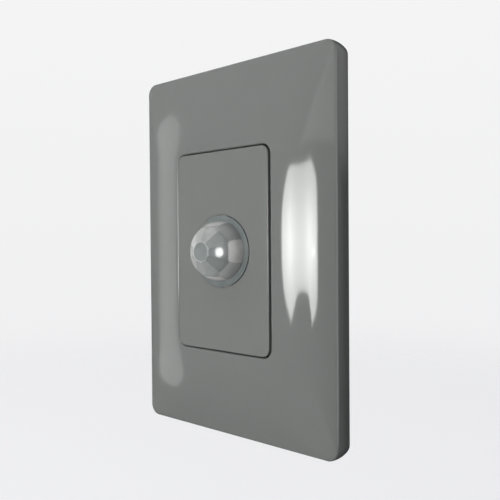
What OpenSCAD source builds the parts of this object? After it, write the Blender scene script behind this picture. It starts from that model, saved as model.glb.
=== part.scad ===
// Motion sensor light switch for a single wall box: a crowned cover plate, a flat sensor
// module with a faceted dome lens, the support frame that screws to the box, and the works
// inside the module. Sizes are in millimetres.
// Each part is drawn lying on its back: X to the right, Y up the wall and Z out into the
// room, with the wall at Z = 0. upright() then stands it up, so the front faces -Y.

/* [Cover plate] */
// Width of the plate
plate_w = 78.5; // [76:0.5:86]
// Height of the plate
plate_h = 121; // [118:0.5:130]
// Corner radius of the plate's outline
plate_corner_r = 4; // [3.6:0.1:8]
// Height of the plate's side above the wall
plate_edge = 7.2; // [6.6:0.1:8.5]
// Rise of the crowned front, from the side up to its opening
plate_crown = 4.4; // [4.2:0.1:5.6]
// Wall thickness of the plate
plate_wall = 2.2; // [1.8:0.1:2.6]
// Swell of the plate's side between the wall and its front edge
side_swell = 0.3; // [0:0.05:0.4]
// Radius between the plate's side and its front
plate_round = 1; // [0.5:0.1:1.4]
// Extra corner radius of the crown half way up, so that it has no creases
plate_soft = 12; // [6:0.5:14]
// Depth of the lip round the plate's opening
lip_depth = 4.5; // [3.5:0.1:5]
// Thickness of that lip
lip_t = 1.6; // [1.2:0.1:2]
// Width of the notch for prising the plate off
notch_w = 10; // [6:0.5:14]

/* [Sensor cover] */
// Width of the cover
cover_w = 37.4; // [36.8:0.1:40]
// Height of the cover
cover_h = 63.4; // [63:0.1:67]
// Corner radius of the cover
cover_corner_r = 2.6; // [2.2:0.1:3.5]
// Radius of the cover's front edge
cover_round = 0.3; // [0.3:0.1:0.8]
// Thickness of the cover's front
cover_front_t = 1.8; // [1.5:0.1:2.2]
// Thickness of the cover's skirt
cover_wall = 1.5; // [1.3:0.1:1.7]
// How far the cover stands out from the plate's opening
cover_proud = 0.4; // [0.2:0.1:0.6]
// Gap between the cover and the plate's opening
cover_gap = 0.5; // [0.3:0.05:0.6]

/* [Lens] */
// Radius of the dome
lens_r = 9.5; // [9:0.1:10]
// How far the centre of the dome lies behind the cover's face
lens_sink = 0; // [0:0.1:1]
// Radius of the ring at the dome's foot, which fills the cover's hole
lens_foot_r = 11.2; // [10.8:0.1:11.6]
// How far that ring lies behind the cover's face
lens_foot_drop = 0.3; // [0.2:0.1:0.6]
// Wall thickness of the dome between its facets
lens_wall = 1.1; // [0.9:0.1:1.4]
// Depth of the tip facet and the ring round it below the dome's curve
facet_depth = 0.4; // [0.3:0.05:0.5]
// Depth of the facets round the foot of the dome
foot_facet_depth = 0.1; // [0.1:0.05:0.4]
// Number of facets round the tip facet
facets_inner = 10; // [6:1:12]
// Tilt of those facets from the dome's axis
facet_tilt = 36; // [32:1:38]
// Number of facets round the foot of the dome
facets_outer = 8; // [6:1:10]
// Tilt of those facets from the dome's axis
foot_facet_tilt = 68; // [64:1:72]
// Width of the flange that holds the lens in
lens_flange_w = 1.8; // [1.2:0.1:2.4]
// Thickness of that flange
lens_flange_t = 1; // [0.8:0.1:1.4]
// Gap round that ring in the cover's hole
lens_gap = 0.3; // [0.2:0.05:0.5]

/* [Support frame] */
// Thickness of the frame's base
frame_t = 2; // [1.6:0.1:2.4]
// Space between the frame and the inside of the plate, at the sides
frame_margin = 1.8; // [1.2:0.1:2.6]
// Space between the frame and the inside of the plate, at the ends
frame_end_margin = 5.8; // [4:0.1:7]
// Thickness of the rail round the frame's window
rail_t = 1.8; // [1.4:0.1:2.4]
// Distance between the two box screws
box_screw_spacing = 83.3; // [81:0.1:86]
// Width of the slots for the box screws
slot_w = 4.2; // [3.8:0.1:4.8]
// Length of the slots for the box screws
slot_l = 7; // [5.5:0.1:9]
// Corner radius of the frame
frame_corner_r = 4; // [3:0.5:6]
// Width of the raised rim round the frame
frame_rim = 1.4; // [1:0.1:1.5]
// Distance of each plate catch from the frame's side
catch_inset = 7; // [6:0.5:9]
// Height of each plate catch from the middle
catch_y = 37; // [30:0.5:39]
// Width of each plate catch
catch_w = 8; // [6:0.5:10]
// How far a catch and its hook reach past each other
catch_grip = 0.5; // [0.3:0.1:0.6]

/* [Module housing] */
// Wall thickness of the housing
case_wall = 1.6; // [1.4:0.1:1.8]
// Thickness of the deck under the cover
deck_t = 1.5; // [1.2:0.1:2]
// Thickness of the collar that rests on the frame
collar_t = 1.2; // [1:0.1:1.5]
// Depth of the front half behind the wall
front_depth = 4; // [3.5:0.1:5]
// Depth of the whole module behind the wall
case_depth = 28; // [28:0.5:36]
// Height of each latch from the middle
latch_y = 17; // [14:0.5:19]
// Width of each latch
latch_w = 9; // [7:0.5:10]
// Length of each ridge that the cover snaps over
snap_l = 8; // [6:0.5:10]
// Radius of the light shield round the sensor
shield_r = 9.4; // [8.8:0.1:9.6]
// Thickness of the light shield
shield_t = 1; // [0.8:0.1:1.4]
// Radius of the screw posts
post_r = 2.3; // [2:0.1:2.5]
// Radius of the case screws
case_screw_r = 1.1; // [0.9:0.05:1.3]
// Length of the case screws below the head
case_screw_l = 9; // [7:0.5:12]

/* [Sensor board and dials] */
// Thickness of both boards
board_t = 1.6; // [1.2:0.1:2]
// Space between the deck and the sensor board
board_gap = 3.5; // [3.3:0.1:4.2]
// Radius of the sensor can
can_r = 4.1; // [3.8:0.1:4.4]
// Height of the sensor can
can_h = 4.6; // [4:0.1:5]
// Distance of the lamp and the light sensor from the middle
lamp_x = 7; // [6.8:0.05:7.1]
// Radius of the lamp and of the light sensor
lamp_r = 1.5; // [1.2:0.1:1.6]
// Distance of the controller below the middle
chip_drop = 8; // [4:0.5:12]
// Length of the header between the boards
header_l = 10.2; // [10:0.1:12]
// Width and height of that header
header_t = 2.5; // [2.2:0.1:3]
// Height of each dial from the middle
dial_y = 20; // [17.5:0.1:21]
// Radius of the dials
dial_r = 3; // [2.5:0.1:3.4]
// Width of the trimmer bodies
trimmer_w = 8; // [7:0.1:9]
// Radius of the dial's shaft
dial_shaft_r = 1.5; // [1.2:0.1:1.8]

/* [Power board] */
// Space between the case's joint and the power board
board_drop = 4; // [3.5:0.1:5]
// Width of the relay
relay_w = 15.4; // [13:0.1:16]
// Length of the relay
relay_l = 19; // [16:0.1:19.8]
// Height of the relay
relay_h = 15; // [12:0.1:18]
// Width of the film capacitor
film_w = 7.5; // [5:0.1:9]
// Radius of the smoothing capacitor
can_cap_r = 5; // [4:0.1:5.3]
// Height of the smoothing capacitor
can_cap_h = 12.5; // [9:0.1:15]
// Radius of the varistor
varistor_r = 5; // [3.5:0.1:5.5]
// Distance of the fuse resistor from the terminal block
fuse_gap = 2.4; // [2:0.1:4]

/* [Terminals] */
// Width of a cage
cage_w = 7.4; // [6.8:0.1:7.8]
// Length of a cage along the wire
cage_l = 4.6; // [4.2:0.1:5]
// Wall thickness of a cage
cage_wall = 1; // [0.8:0.1:1.1]
// Thickness of the cage's threaded wall
cage_nut_t = 1.8; // [1.5:0.1:2.4]
// Height of the space for the wire
wire_gap = 4.8; // [4.5:0.1:5.2]
// Width of a terminal bar
bar_w = 4.8; // [4.2:0.1:5]
// Thickness of a terminal bar
bar_t = 1.2; // [1:0.1:1.5]
// Radius of the terminal screw's shank
screw_r = 1.7; // [1.4:0.05:1.9]
// Radius of the terminal screw's head
head_r = 3; // [2.7:0.1:3.2]
// Thickness of the terminal screw's head
head_t = 2; // [1.6:0.1:2.4]

/* [Fits] */
// Slip between the cover's skirt and the deck
cover_slip = 0.1; // [0.05:0.05:0.2]
// Play of the module in the frame's window
frame_play = 0.3; // [0.2:0.05:0.4]
// Running clearance of shafts, threads and screw heads
run_play = 0.06; // [0.03:0.01:0.09]
// Play of a cage in its cell
cage_play = 0.3; // [0.2:0.05:0.4]
// Play of pieces that only pass each other
pass_play = 0.2; // [0.15:0.05:0.3]

/* [Hidden] */
$fn = 48;
arc_n = 8;
crown_n = 9;
side_n = 4;
round_q = 65;
grey = [0.42, 0.43, 0.42];
// Heights of the stack in front of the wall, from the face down
face_z = plate_edge + plate_crown + cover_proud;
cover_back_z = face_z - cover_front_t;
deck_z = cover_back_z - lens_flange_t;
deck_back_z = deck_z - deck_t;
skirt_z = deck_back_z - 1.5;
rail_z = skirt_z - collar_t;
lens_z = face_z - lens_sink;
board_z = deck_back_z - board_gap;
board_back_z = board_z - board_t;
trimmer_h = board_gap - 0.5;
dial_z = board_z + trimmer_h + 0.1;
dial_top_z = cover_back_z - 1.2;
// Outlines that follow from the cover
open_a = cover_w / 2 + cover_gap;
open_b = cover_h / 2 + cover_gap;
open_r = cover_corner_r + cover_gap;
body_w = cover_w - 2 * (cover_wall + cover_slip);
body_h = cover_h - 2 * (cover_wall + cover_slip);
body_r = max(0.4, cover_corner_r - cover_wall - cover_slip);
in_w = body_w - 2 * case_wall;
in_h = body_h - 2 * case_wall;
board_w = in_w - 0.6;
board_h = in_h - 0.6;
// Outlines that follow from the plate
half_w = plate_w / 2;
half_h = plate_h / 2;
side_q = atan(4 * side_swell / plate_edge);
side_top = plate_edge - plate_round * (sin(round_q) - sin(side_q));
round_in = side_swell + plate_round * (cos(side_q) - cos(round_q));
frame_w = plate_w - 2 * (plate_wall + frame_margin);
frame_h = plate_h - 2 * (plate_wall + frame_end_margin);
window_w = body_w + 2 * frame_play;
window_h = body_h + 2 * frame_play;
catch_x = frame_w / 2 - catch_inset;
catch_z = frame_t + 3;
barb = catch_grip + pass_play;
tower_t = 1.6;
// Depths behind the wall
split_z = -front_depth;
power_z = split_z - board_drop;
power_back_z = power_z - board_t;
cage_front_z = power_back_z - 0.5;
bar_front_z = cage_front_z - cage_wall - wire_gap;
bar_back_z = bar_front_z - bar_t;
cage_back_z = bar_back_z - 0.4 - cage_nut_t;
cage_travel = wire_gap - 0.2;
cell_floor_z = cage_back_z - cage_travel - pass_play;
head_z = cell_floor_z - 0.1;
head_back_z = head_z - head_t;
lip_z = head_back_z - 0.1;
tallest = max(relay_h, can_cap_h, 13) + 0.6;
rear_z = min(-case_depth, lip_z - case_wall, power_back_z - tallest - case_wall);
rear_in_z = rear_z + case_wall;
// Places along the terminals
pitch = in_w / 3;
cell_y0 = -in_h / 2;
cage_y = cell_y0 + cage_play + cage_l / 2;
leg_y = cage_y + cage_l / 2 + 0.4;
cell_y1 = leg_y + bar_t + 0.4;
block_y1 = cell_y1 + 1.2;
screw_tip_z = bar_back_z - 0.1;
// Places on the boards
post_x = board_w / 2 - 3.8;
post_y = board_h / 2 - 3.8;
stake_x = board_w / 2 - 3;
stake_y = -board_h / 2 + 3;
part_top_y = post_y - post_r - pass_play - 1;
relay_x = board_w / 2 - 0.5 - relay_w / 2;
relay_y = part_top_y - relay_l / 2;
film_x = -board_w / 2 + 0.5 + film_w / 2;
film_l = 17;
film_h = 13;
film_y = part_top_y - film_l / 2;
can_cap_x = -board_w / 2 + 0.7 + can_cap_r;
can_cap_y = min(relay_y - relay_l / 2, film_y - film_l / 2) - 1 - can_cap_r;
varistor_t = 3.6;
varistor_x = board_w / 2 - 0.7 - varistor_r;
varistor_y = relay_y - relay_l / 2 - 1 - varistor_t / 2;
rectifier_y = varistor_y - varistor_t / 2 - 1 - 3.2;
fuse_y = block_y1 + fuse_gap;

module upright() {
    rotate([90, 0, 0]) children();
}

module outline(w, h, r) {
    square([w - 2 * r, h], center = true);
    square([w, h - 2 * r], center = true);
    for (sx = [-1, 1], sy = [-1, 1]) {
        translate([sx * (w / 2 - r), sy * (h / 2 - r)]) circle(r);
    }
}

module slab(w, h, r, z0, z1) {
    translate([0, 0, z0]) linear_extrude(z1 - z0) outline(w, h, r);
}

module block(x0, x1, y0, y1, z0, z1) {
    translate([x0, y0, z0]) cube([x1 - x0, y1 - y0, z1 - z0]);
}

module rod(x, y, r, z0, z1) {
    translate([x, y, z0]) cylinder(r = r, h = z1 - z0);
}

// Cover plate: a shell lofted through rounded rectangles, from the wall up the side, over
// the crown to the opening, then back along the inside.

function mix(a, b, t) = a + (b - a) * t;
function crown(t) = plate_edge + plate_crown * (1 - pow(1 - t, 2));
function soft(a, b, t) = mix(a, b, t) + plate_soft * 4 * t * (1 - t);

function ring(a, b, r, z) = [
    for (c = [0 : 3], i = [0 : arc_n])
    let (
        q = 90 * (c + i / arc_n),
        sx = (c == 0 || c == 3) ? 1 : -1,
        sy = c < 2 ? 1 : -1
    )
    [sx * (a - r) + r * cos(q), sy * (b - r) + r * sin(q), z]
];

plate_rings = concat(
    [for (i = [0 : side_n])
        let (e = side_swell * pow(2 * i / side_n - 1, 2))
        [half_w - e, half_h - e, plate_corner_r - e, side_top * i / side_n]],
    [for (i = [1 : 4])
        let (q = mix(side_q, round_q, i / 4), e = side_swell + plate_round * (cos(side_q) - cos(q)))
        [half_w - e, half_h - e, plate_corner_r - e,
            plate_edge - plate_round * (sin(round_q) - sin(q))]],
    [for (i = [1 : crown_n])
        let (t = i / crown_n)
        [mix(half_w - round_in, open_a, t), mix(half_h - round_in, open_b, t),
            soft(plate_corner_r - round_in, open_r, t), crown(t)]],
    [[open_a, open_b, open_r, face_z - lip_depth]],
    [[open_a + lip_t, open_b + lip_t, open_r + lip_t, face_z - lip_depth]],
    [for (i = [0 : crown_n])
        let (t = 1 - i / crown_n)
        [mix(half_w - plate_wall, open_a + lip_t, t), mix(half_h - plate_wall, open_b + lip_t, t),
            soft(plate_corner_r - plate_wall, open_r + lip_t, t), crown(t) - plate_wall]],
    [[half_w - plate_wall, half_h - plate_wall, plate_corner_r - plate_wall, 0]]
);

module plate_shell() {
    count = len(plate_rings);
    per = 4 * (arc_n + 1);
    points = [for (g = plate_rings) for (p = ring(g[0], g[1], g[2], g[3])) p];
    faces = [
        for (k = [0 : count - 1], i = [0 : per - 1])
        let (k2 = (k + 1) % count, i2 = (i + 1) % per)
        each [
            [k * per + i, k2 * per + i, k2 * per + i2],
            [k * per + i, k2 * per + i2, k * per + i2]
        ]
    ];
    polyhedron(points = points, faces = faces);
}

// Height of the middle of the plate's wall at a distance from the centre line
function wall_mid(x) = crown((half_w - round_in - x) / (half_w - round_in - open_a)) - plate_wall / 2;

module plate_hook() {
    leg_x = catch_x + barb + pass_play;
    top_z = catch_z - pass_play;
    difference() {
        block(leg_x, leg_x + 1.4, -catch_w / 2 + 0.5, catch_w / 2 - 0.5, top_z - 2, wall_mid(leg_x + 0.7));
        translate([leg_x - 0.1, -catch_w, top_z - 2]) rotate([0, 40, 0])
            cube([1, 2 * catch_w, 2], center = true);
    }
    translate([0, catch_w / 2 - 0.5, 0]) rotate([90, 0, 0]) linear_extrude(catch_w - 1) polygon([
        [leg_x + 0.2, top_z],
        [leg_x - barb, top_z],
        [leg_x - barb, top_z - 0.4],
        [leg_x + 0.2, top_z - 1.6]
    ]);
}

module plate_rib() {
    x0 = open_a + 0.75 * lip_t;
    x1 = half_w - plate_wall / 2;
    steps = 6;
    top = [for (i = [0 : steps]) let (x = mix(x0, half_w - plate_wall, i / steps)) [x, wall_mid(x)]];
    translate([0, 0.5, 0]) rotate([90, 0, 0]) linear_extrude(1) polygon(concat(
        [[x0, frame_t + 2]],
        top,
        [[x1, frame_t + 2]]
    ));
}

module cover_plate() {
    color(grey) upright() difference() {
        union() {
            plate_shell();
            for (side = [0, 1], sy = [-1, 1]) {
                mirror([side, 0, 0]) {
                    translate([0, sy * catch_y, 0]) plate_hook();
                    translate([0, sy * catch_y / 3, 0]) plate_rib();
                }
            }
        }
        block(-notch_w / 2, notch_w / 2, -half_h - 1, -half_h + plate_wall + 1, -1, 1.4);
    }
}

// Sensor cover: the flat insert in the plate's opening, a little proud of it, with the hole
// for the dome.

module sensor_cover() {
    color(grey) upright() difference() {
        hull() {
            slab(cover_w, cover_h, cover_corner_r, skirt_z, face_z - cover_round, $fn = 32);
            for (q = [30, 60, 90]) {
                e = cover_round * (1 - cos(q));
                z = face_z - cover_round * (1 - sin(q));
                slab(cover_w - 2 * e, cover_h - 2 * e, cover_corner_r - e, z - 0.02, z, $fn = 32);
            }
        }
        slab(
            cover_w - 2 * cover_wall, cover_h - 2 * cover_wall, body_r + cover_slip,
            skirt_z - 1, cover_back_z
        );
        rod(0, 0, lens_foot_r + lens_gap, cover_back_z - 1, face_z + 1);
        for (side = [0, 1], sy = [-1, 1]) {
            mirror([side, 0, 0]) block(
                cover_w / 2 - cover_wall - 1, cover_w / 2 - cover_wall + 0.6,
                sy * latch_y - snap_l / 2 - 0.5, sy * latch_y + snap_l / 2 + 0.5, deck_z - 1.5, deck_z - 0.3
            );
        }
    }
}

// Lens dome: a thin half ball with one flat lens facet at its tip and two rings of facets
// round it, on a collar with a ring that fills the cover's hole. Its flange is held between
// the cover and the deck.

module facet(polar, turn, depth) {
    s = 2 * sqrt(2 * lens_r * depth) + 1;
    rotate([0, polar, turn]) translate([-s / 2, -s / 2, lens_r - depth]) cube([s, s, 2]);
}

module half_ball(r) {
    translate([0, 0, lens_z]) intersection() {
        sphere(r);
        cylinder(r = 2 * r, h = 2 * r);
    }
}

module lens_dome() {
    color([0.75, 0.77, 0.77]) upright() difference() {
        union() {
            half_ball(lens_r);
            rod(0, 0, lens_r, deck_z, lens_z);
            rod(0, 0, lens_foot_r, deck_z, face_z - lens_foot_drop);
            rod(0, 0, lens_foot_r + lens_flange_w, deck_z, deck_z + lens_flange_t);
        }
        half_ball(lens_r - lens_wall);
        rod(0, 0, lens_r - lens_wall, deck_z - 1, lens_z);
        translate([0, 0, lens_z]) {
            facet(0, 0, facet_depth);
            for (i = [0 : facets_inner - 1]) {
                facet(facet_tilt, 360 * i / facets_inner, facet_depth);
            }
            for (i = [0 : facets_outer - 1]) {
                facet(foot_facet_tilt, 360 * i / facets_outer, foot_facet_depth);
            }
        }
    }
}

// Support frame: screwed to the wall box through two slots. The module's collar rests on
// its rail, and its four catches hold the plate's hooks.

module box_slot(y) {
    d = (slot_l - slot_w) / 2;
    translate([0, y, 0]) {
        rod(0, d, slot_w / 2, -1, frame_t + 4);
        rod(0, -d, slot_w / 2, -1, frame_t + 4);
        block(-slot_w / 2, slot_w / 2, -d, d, -1, frame_t + 4);
    }
}

module plate_catch() {
    block(catch_x - tower_t, catch_x, -catch_w / 2, catch_w / 2, frame_t - 0.5, catch_z + 1.5);
    translate([0, catch_w / 2, 0]) rotate([90, 0, 0]) linear_extrude(catch_w) polygon([
        [catch_x - 0.2, catch_z],
        [catch_x + barb, catch_z],
        [catch_x + barb, catch_z + 0.4],
        [catch_x - 0.2, catch_z + 1.5]
    ]);
    translate([0, 0.6, 0]) rotate([90, 0, 0]) linear_extrude(1.2) polygon([
        [catch_x - tower_t + 0.2, frame_t - 0.5],
        [catch_x - tower_t + 0.2, catch_z],
        [catch_x - tower_t - 2.5, frame_t - 0.5]
    ]);
}

module support_frame() {
    color([0.2, 0.2, 0.21]) upright() difference() {
        union() {
            slab(frame_w, frame_h, frame_corner_r, 0, frame_t);
            difference() {
                slab(frame_w, frame_h, frame_corner_r, frame_t - 0.5, frame_t + 1.2);
                slab(
                    frame_w - 2 * frame_rim, frame_h - 2 * frame_rim, frame_corner_r - frame_rim,
                    frame_t - 1, frame_t + 2
                );
            }
            slab(
                window_w + 2 * rail_t, window_h + 2 * rail_t, body_r + frame_play + rail_t,
                frame_t - 0.5, rail_z
            );
            for (sy = [-1, 1]) {
                rod(0, sy * box_screw_spacing / 2, slot_l / 2 + 2.2, frame_t - 0.5, frame_t + 0.6);
            }
            for (side = [0, 1], sy = [-1, 1]) {
                mirror([side, 0, 0]) translate([0, sy * catch_y, 0]) plate_catch();
            }
        }
        slab(window_w, window_h, body_r + frame_play, -1, rail_z + 1);
        box_slot(box_screw_spacing / 2);
        box_slot(-box_screw_spacing / 2);
        for (side = [0, 1], sy = [-1, 1]) {
            mirror([side, 0, 0]) block(
                catch_x + 0.1, catch_x + 3.4,
                sy * catch_y - catch_w / 2, sy * catch_y + catch_w / 2, -1, frame_t + 0.1
            );
        }
    }
}

// Housing front: the deck under the cover, the collar that rests on the frame and four
// latches that snap in behind it.

module case_latch() {
    translate([0, latch_w / 2 - 1, 0]) rotate([90, 0, 0]) linear_extrude(latch_w - 2) polygon([
        [body_w / 2 - 0.4, -0.1],
        [body_w / 2 + frame_play + 0.6, -0.1],
        [body_w / 2 + frame_play + 0.6, -0.6],
        [body_w / 2 - 0.4, -2.6]
    ]);
}

module board_finger(y) {
    block(in_w / 2 - 1.5, in_w / 2 - 0.1, y - 2, y + 2, power_z, split_z + 3);
    block(in_w / 2 - 0.3, in_w / 2 + 0.4, y - 2, y + 2, split_z, split_z + 3);
}

finger_y0 = block_y1 + 4;
finger_y1 = post_y;

module housing_front() {
    color([0.16, 0.16, 0.17]) upright() difference() {
        union() {
            difference() {
                union() {
                    slab(body_w, body_h, body_r, split_z, deck_z);
                    slab(cover_w, cover_h, cover_corner_r, rail_z, skirt_z);
                }
                slab(in_w, in_h, 0.6, split_z - 1, deck_back_z);
            }
            rod(0, 0, shield_r + shield_t, board_z + 0.1, deck_back_z + 0.5);
            for (side = [0, 1]) {
                mirror([side, 0, 0]) {
                    rod(post_x, post_y, post_r + 1, board_z, deck_back_z + 0.5);
                    rod(post_x, post_y, post_r, rear_in_z + 0.1, board_z + 0.5);
                    rod(stake_x, stake_y, 2, board_z, deck_back_z + 0.5);
                    rod(stake_x, stake_y, 0.9, board_back_z - 0.8, board_z + 0.5);
                    board_finger(finger_y0);
                    board_finger(finger_y1);
                    translate([in_w / 2 - 0.4, finger_y0 + 1.6, power_z + 1.6]) rotate([90, 0, 0])
                        linear_extrude(3.2) polygon([[0, 0], [1.3, 0.9], [1.3, 1.4], [0, 1.4]]);
                    for (sy = [-1, 1]) {
                        translate([0, sy * latch_y, 0]) case_latch();
                        translate([body_w / 2 - 0.15, sy * latch_y - snap_l / 2, deck_z - 0.9])
                            rotate([-90, 0, 0]) cylinder(r = 0.45, h = snap_l);
                    }
                }
            }
        }
        rod(0, 0, shield_r, board_z - 1, deck_z + 1);
        for (sy = [-1, 1]) {
            rod(0, sy * dial_y, dial_r + 0.4, deck_back_z - 1, deck_z + 1);
        }
        for (side = [0, 1]) {
            mirror([side, 0, 0]) {
                rod(post_x, post_y, case_screw_r + 0.05, rear_in_z - 1, rear_in_z + case_screw_l + 1);
                for (sy = [-1, 1], e = [-1, 1]) {
                    translate([0, sy * latch_y + e * (latch_w / 2 - 0.4), 0])
                        block(in_w / 2 - 0.1, body_w / 2 + 0.1, -0.4, 0.4, split_z + 1, rail_z - 1);
                }
            }
        }
    }
}

// Housing rear: the box behind the wall, with three terminal cells across its lower end.

module terminal_cell() {
    w = cage_w / 2 + cage_play;
    block(-w, w, cell_y0, cell_y1, cell_floor_z, power_back_z + 1);
    rod(0, cage_y, head_r + run_play, lip_z, cell_floor_z + 0.5);
    rod(0, cage_y, head_r - 0.5, rear_z - 1, lip_z + 0.5);
    block(-cage_w / 2 + cage_wall - 0.2, cage_w / 2 - cage_wall + 0.2,
        -body_h / 2 - 1, cell_y0 + 1, bar_front_z, cage_front_z - cage_wall + 0.2);
}

module housing_rear() {
    color([0.86, 0.86, 0.84]) upright() difference() {
        union() {
            difference() {
                slab(body_w, body_h, body_r, rear_z, split_z);
                slab(in_w, in_h, 0.6, rear_in_z, split_z + 1);
            }
            block(-in_w / 2 - 0.5, in_w / 2 + 0.5, -in_h / 2 - 0.5, block_y1, rear_in_z - 0.5, power_back_z);
            for (side = [0, 1]) {
                mirror([side, 0, 0]) block(
                    in_w / 2 - 1.2, in_w / 2 + 0.5, post_y - 2.2, post_y + 2.2, rear_in_z - 0.5, power_back_z
                );
            }
        }
        for (i = [-1 : 1]) {
            translate([i * pitch, 0, 0]) terminal_cell();
        }
        for (side = [0, 1]) {
            mirror([side, 0, 0]) {
                rod(post_x, post_y, case_screw_r + pass_play, rear_z - 1, rear_in_z + 1);
                rod(post_x, post_y, 2 * case_screw_r + pass_play, rear_z - 1, rear_z + 1);
                block(
                    in_w / 2 - 0.2, body_w / 2 + 0.1, finger_y0 - 2.2, finger_y0 + 2.2,
                    power_z + 1.4, power_z + 3.2
                );
            }
        }
    }
}

// Housing screws: two pan-head screws that pull the rear half onto the front half's posts.

module housing_screws() {
    color([0.7, 0.7, 0.72]) upright() for (sx = [-1, 1]) {
        difference() {
            union() {
                rod(sx * post_x, post_y, 2 * case_screw_r, rear_z - 0.4, rear_z + 1);
                rod(sx * post_x, post_y, case_screw_r, rear_z + 0.5, rear_z + 1 + case_screw_l);
            }
            for (q = [0, 90]) {
                translate([sx * post_x, post_y, rear_z - 0.4]) rotate([0, 0, q])
                    cube([2.4, 0.6, 1.6], center = true);
            }
        }
    }
}

// Sensor board with its pieces: the infrared sensor under the dome, a lamp, a light sensor
// and the controller.

module board_shape(z0, z1) {
    difference() {
        slab(board_w, board_h, 0.8, z0, z1);
        for (sx = [-1, 1]) {
            rod(sx * post_x, post_y, post_r + pass_play, z0 - 1, z1 + 1);
        }
    }
}

module sensor_board() {
    color([0.1, 0.35, 0.2]) upright() difference() {
        board_shape(board_back_z, board_z);
        for (sx = [-1, 1]) {
            rod(sx * stake_x, stake_y, 1.0, board_back_z - 1, board_z + 1);
        }
    }
}

module pir_can() {
    top = board_z + can_h;
    color([0.75, 0.75, 0.76]) upright() difference() {
        union() {
            rod(0, 0, can_r + 0.5, board_z, board_z + 0.6);
            rod(0, 0, can_r, board_z + 0.3, top - 0.3);
            translate([0, 0, top - 0.3]) cylinder(r1 = can_r, r2 = can_r - 0.3, h = 0.3);
            rotate([0, 0, 45]) block(can_r, can_r + 1.2, -0.5, 0.5, board_z, board_z + 0.6);
        }
        block(-2, 2, -1.6, 1.6, top - 0.6, top + 1);
    }
}

module pir_window() {
    top = board_z + can_h;
    color([0.16, 0.14, 0.16]) upright() block(-2, 2, -1.6, 1.6, top - 0.6, top - 0.1);
}

module round_lamp(x) {
    translate([x, 0, board_z]) rotate_extrude() {
        square([lamp_r + 0.3, 0.6]);
        square([lamp_r, 2.2]);
        translate([0, 2.2]) intersection() {
            circle(lamp_r);
            square(lamp_r);
        }
    }
}

module status_lamp() {
    color([0.7, 0.08, 0.08]) upright() round_lamp(lamp_x);
}

module light_sensor() {
    color([0.8, 0.85, 0.88]) upright() round_lamp(-lamp_x);
}

module controller_chip() {
    color([0.08, 0.08, 0.08]) upright() translate([0, -chip_drop, board_back_z]) difference() {
        union() {
            block(-5, 5, -2, 2, -1.7, -0.2);
            for (i = [-3.5 : 3.5], sy = [-1, 1]) {
                translate([1.27 * i, sy * 2.5, 0]) block(-0.2, 0.2, -0.6, 0.6, -0.9, 0);
            }
        }
        rod(-4, -1.2, 0.4, -2, -1.5);
    }
}

// Trimmers under the cover, for the switch-on time and for the light level, each with its
// dial.

module trimmer(y) {
    translate([0, y, 0]) difference() {
        block(-trimmer_w / 2, trimmer_w / 2, -trimmer_w / 2, trimmer_w / 2, board_z, board_z + trimmer_h);
        rod(0, 0, dial_shaft_r + run_play, board_z + 0.5, board_z + trimmer_h + 1);
    }
}

module dial(y) {
    translate([0, y, 0]) difference() {
        union() {
            rod(0, 0, dial_r, dial_z, dial_top_z);
            rod(0, 0, dial_shaft_r, board_z + 0.7, dial_z + 0.5);
        }
        block(-0.4, 0.4, -0.7 * dial_r, 0.7 * dial_r, dial_top_z - 0.8, dial_top_z + 1);
        translate([0, 0, dial_top_z - 0.8]) linear_extrude(2) polygon([
            [-0.3 * dial_r, 0.4 * dial_r],
            [0.3 * dial_r, 0.4 * dial_r],
            [0, 0.8 * dial_r]
        ]);
    }
}

module time_trimmer() {
    color([0.15, 0.15, 0.15]) upright() trimmer(dial_y);
}

module lux_trimmer() {
    color([0.15, 0.15, 0.15]) upright() trimmer(-dial_y);
}

module time_dial() {
    color([0.92, 0.6, 0.15]) upright() dial(dial_y);
}

module lux_dial() {
    color([0.92, 0.6, 0.15]) upright() dial(-dial_y);
}

module board_header() {
    color([0.12, 0.12, 0.12]) upright() translate([0, post_y - 1, 0]) {
        block(
            -header_l / 2, header_l / 2, -header_t / 2, header_t / 2,
            board_back_z - header_t, board_back_z
        );
        for (i = [-1.5 : 1.5]) {
            translate([2.54 * i, 0, 0])
                block(-0.32, 0.32, -0.32, 0.32, power_z, board_back_z - header_t + 0.5);
        }
    }
}

// Power board with the relay and the supply.

module power_board() {
    color([0.1, 0.35, 0.2]) upright() board_shape(power_back_z, power_z);
}

module relay() {
    color([0.08, 0.2, 0.5]) upright() translate([relay_x, relay_y, power_back_z]) {
        slab(relay_w, relay_l, 0.6, -relay_h, -0.4);
        slab(relay_w - 1.6, relay_l - 1.6, 0.4, -0.6, 0);
    }
}

module film_capacitor() {
    color([0.85, 0.7, 0.15]) upright() translate([film_x, film_y, power_back_z]) {
        slab(film_w, film_l, 0.8, -film_h, -0.4);
        for (sy = [-1, 1]) {
            translate([0, sy * (film_l / 2 - 1.5), 0])
                block(-film_w / 2 + 0.6, film_w / 2 - 0.6, -1, 1, -0.6, 0);
        }
    }
}

module smoothing_capacitor() {
    color([0.1, 0.1, 0.14]) upright() translate([can_cap_x, can_cap_y, power_back_z]) difference() {
        rotate_extrude() polygon([
            [0, 0],
            [can_cap_r - 0.6, 0],
            [can_cap_r, -0.6],
            [can_cap_r, -1.6],
            [can_cap_r - 0.5, -2.1],
            [can_cap_r, -2.6],
            [can_cap_r, -can_cap_h + 0.5],
            [can_cap_r - 0.5, -can_cap_h],
            [0, -can_cap_h]
        ]);
        for (q = [0, 90]) {
            translate([0, 0, -can_cap_h]) rotate([0, 0, q]) cube([1.2 * can_cap_r, 0.3, 0.5], center = true);
        }
    }
}

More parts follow.
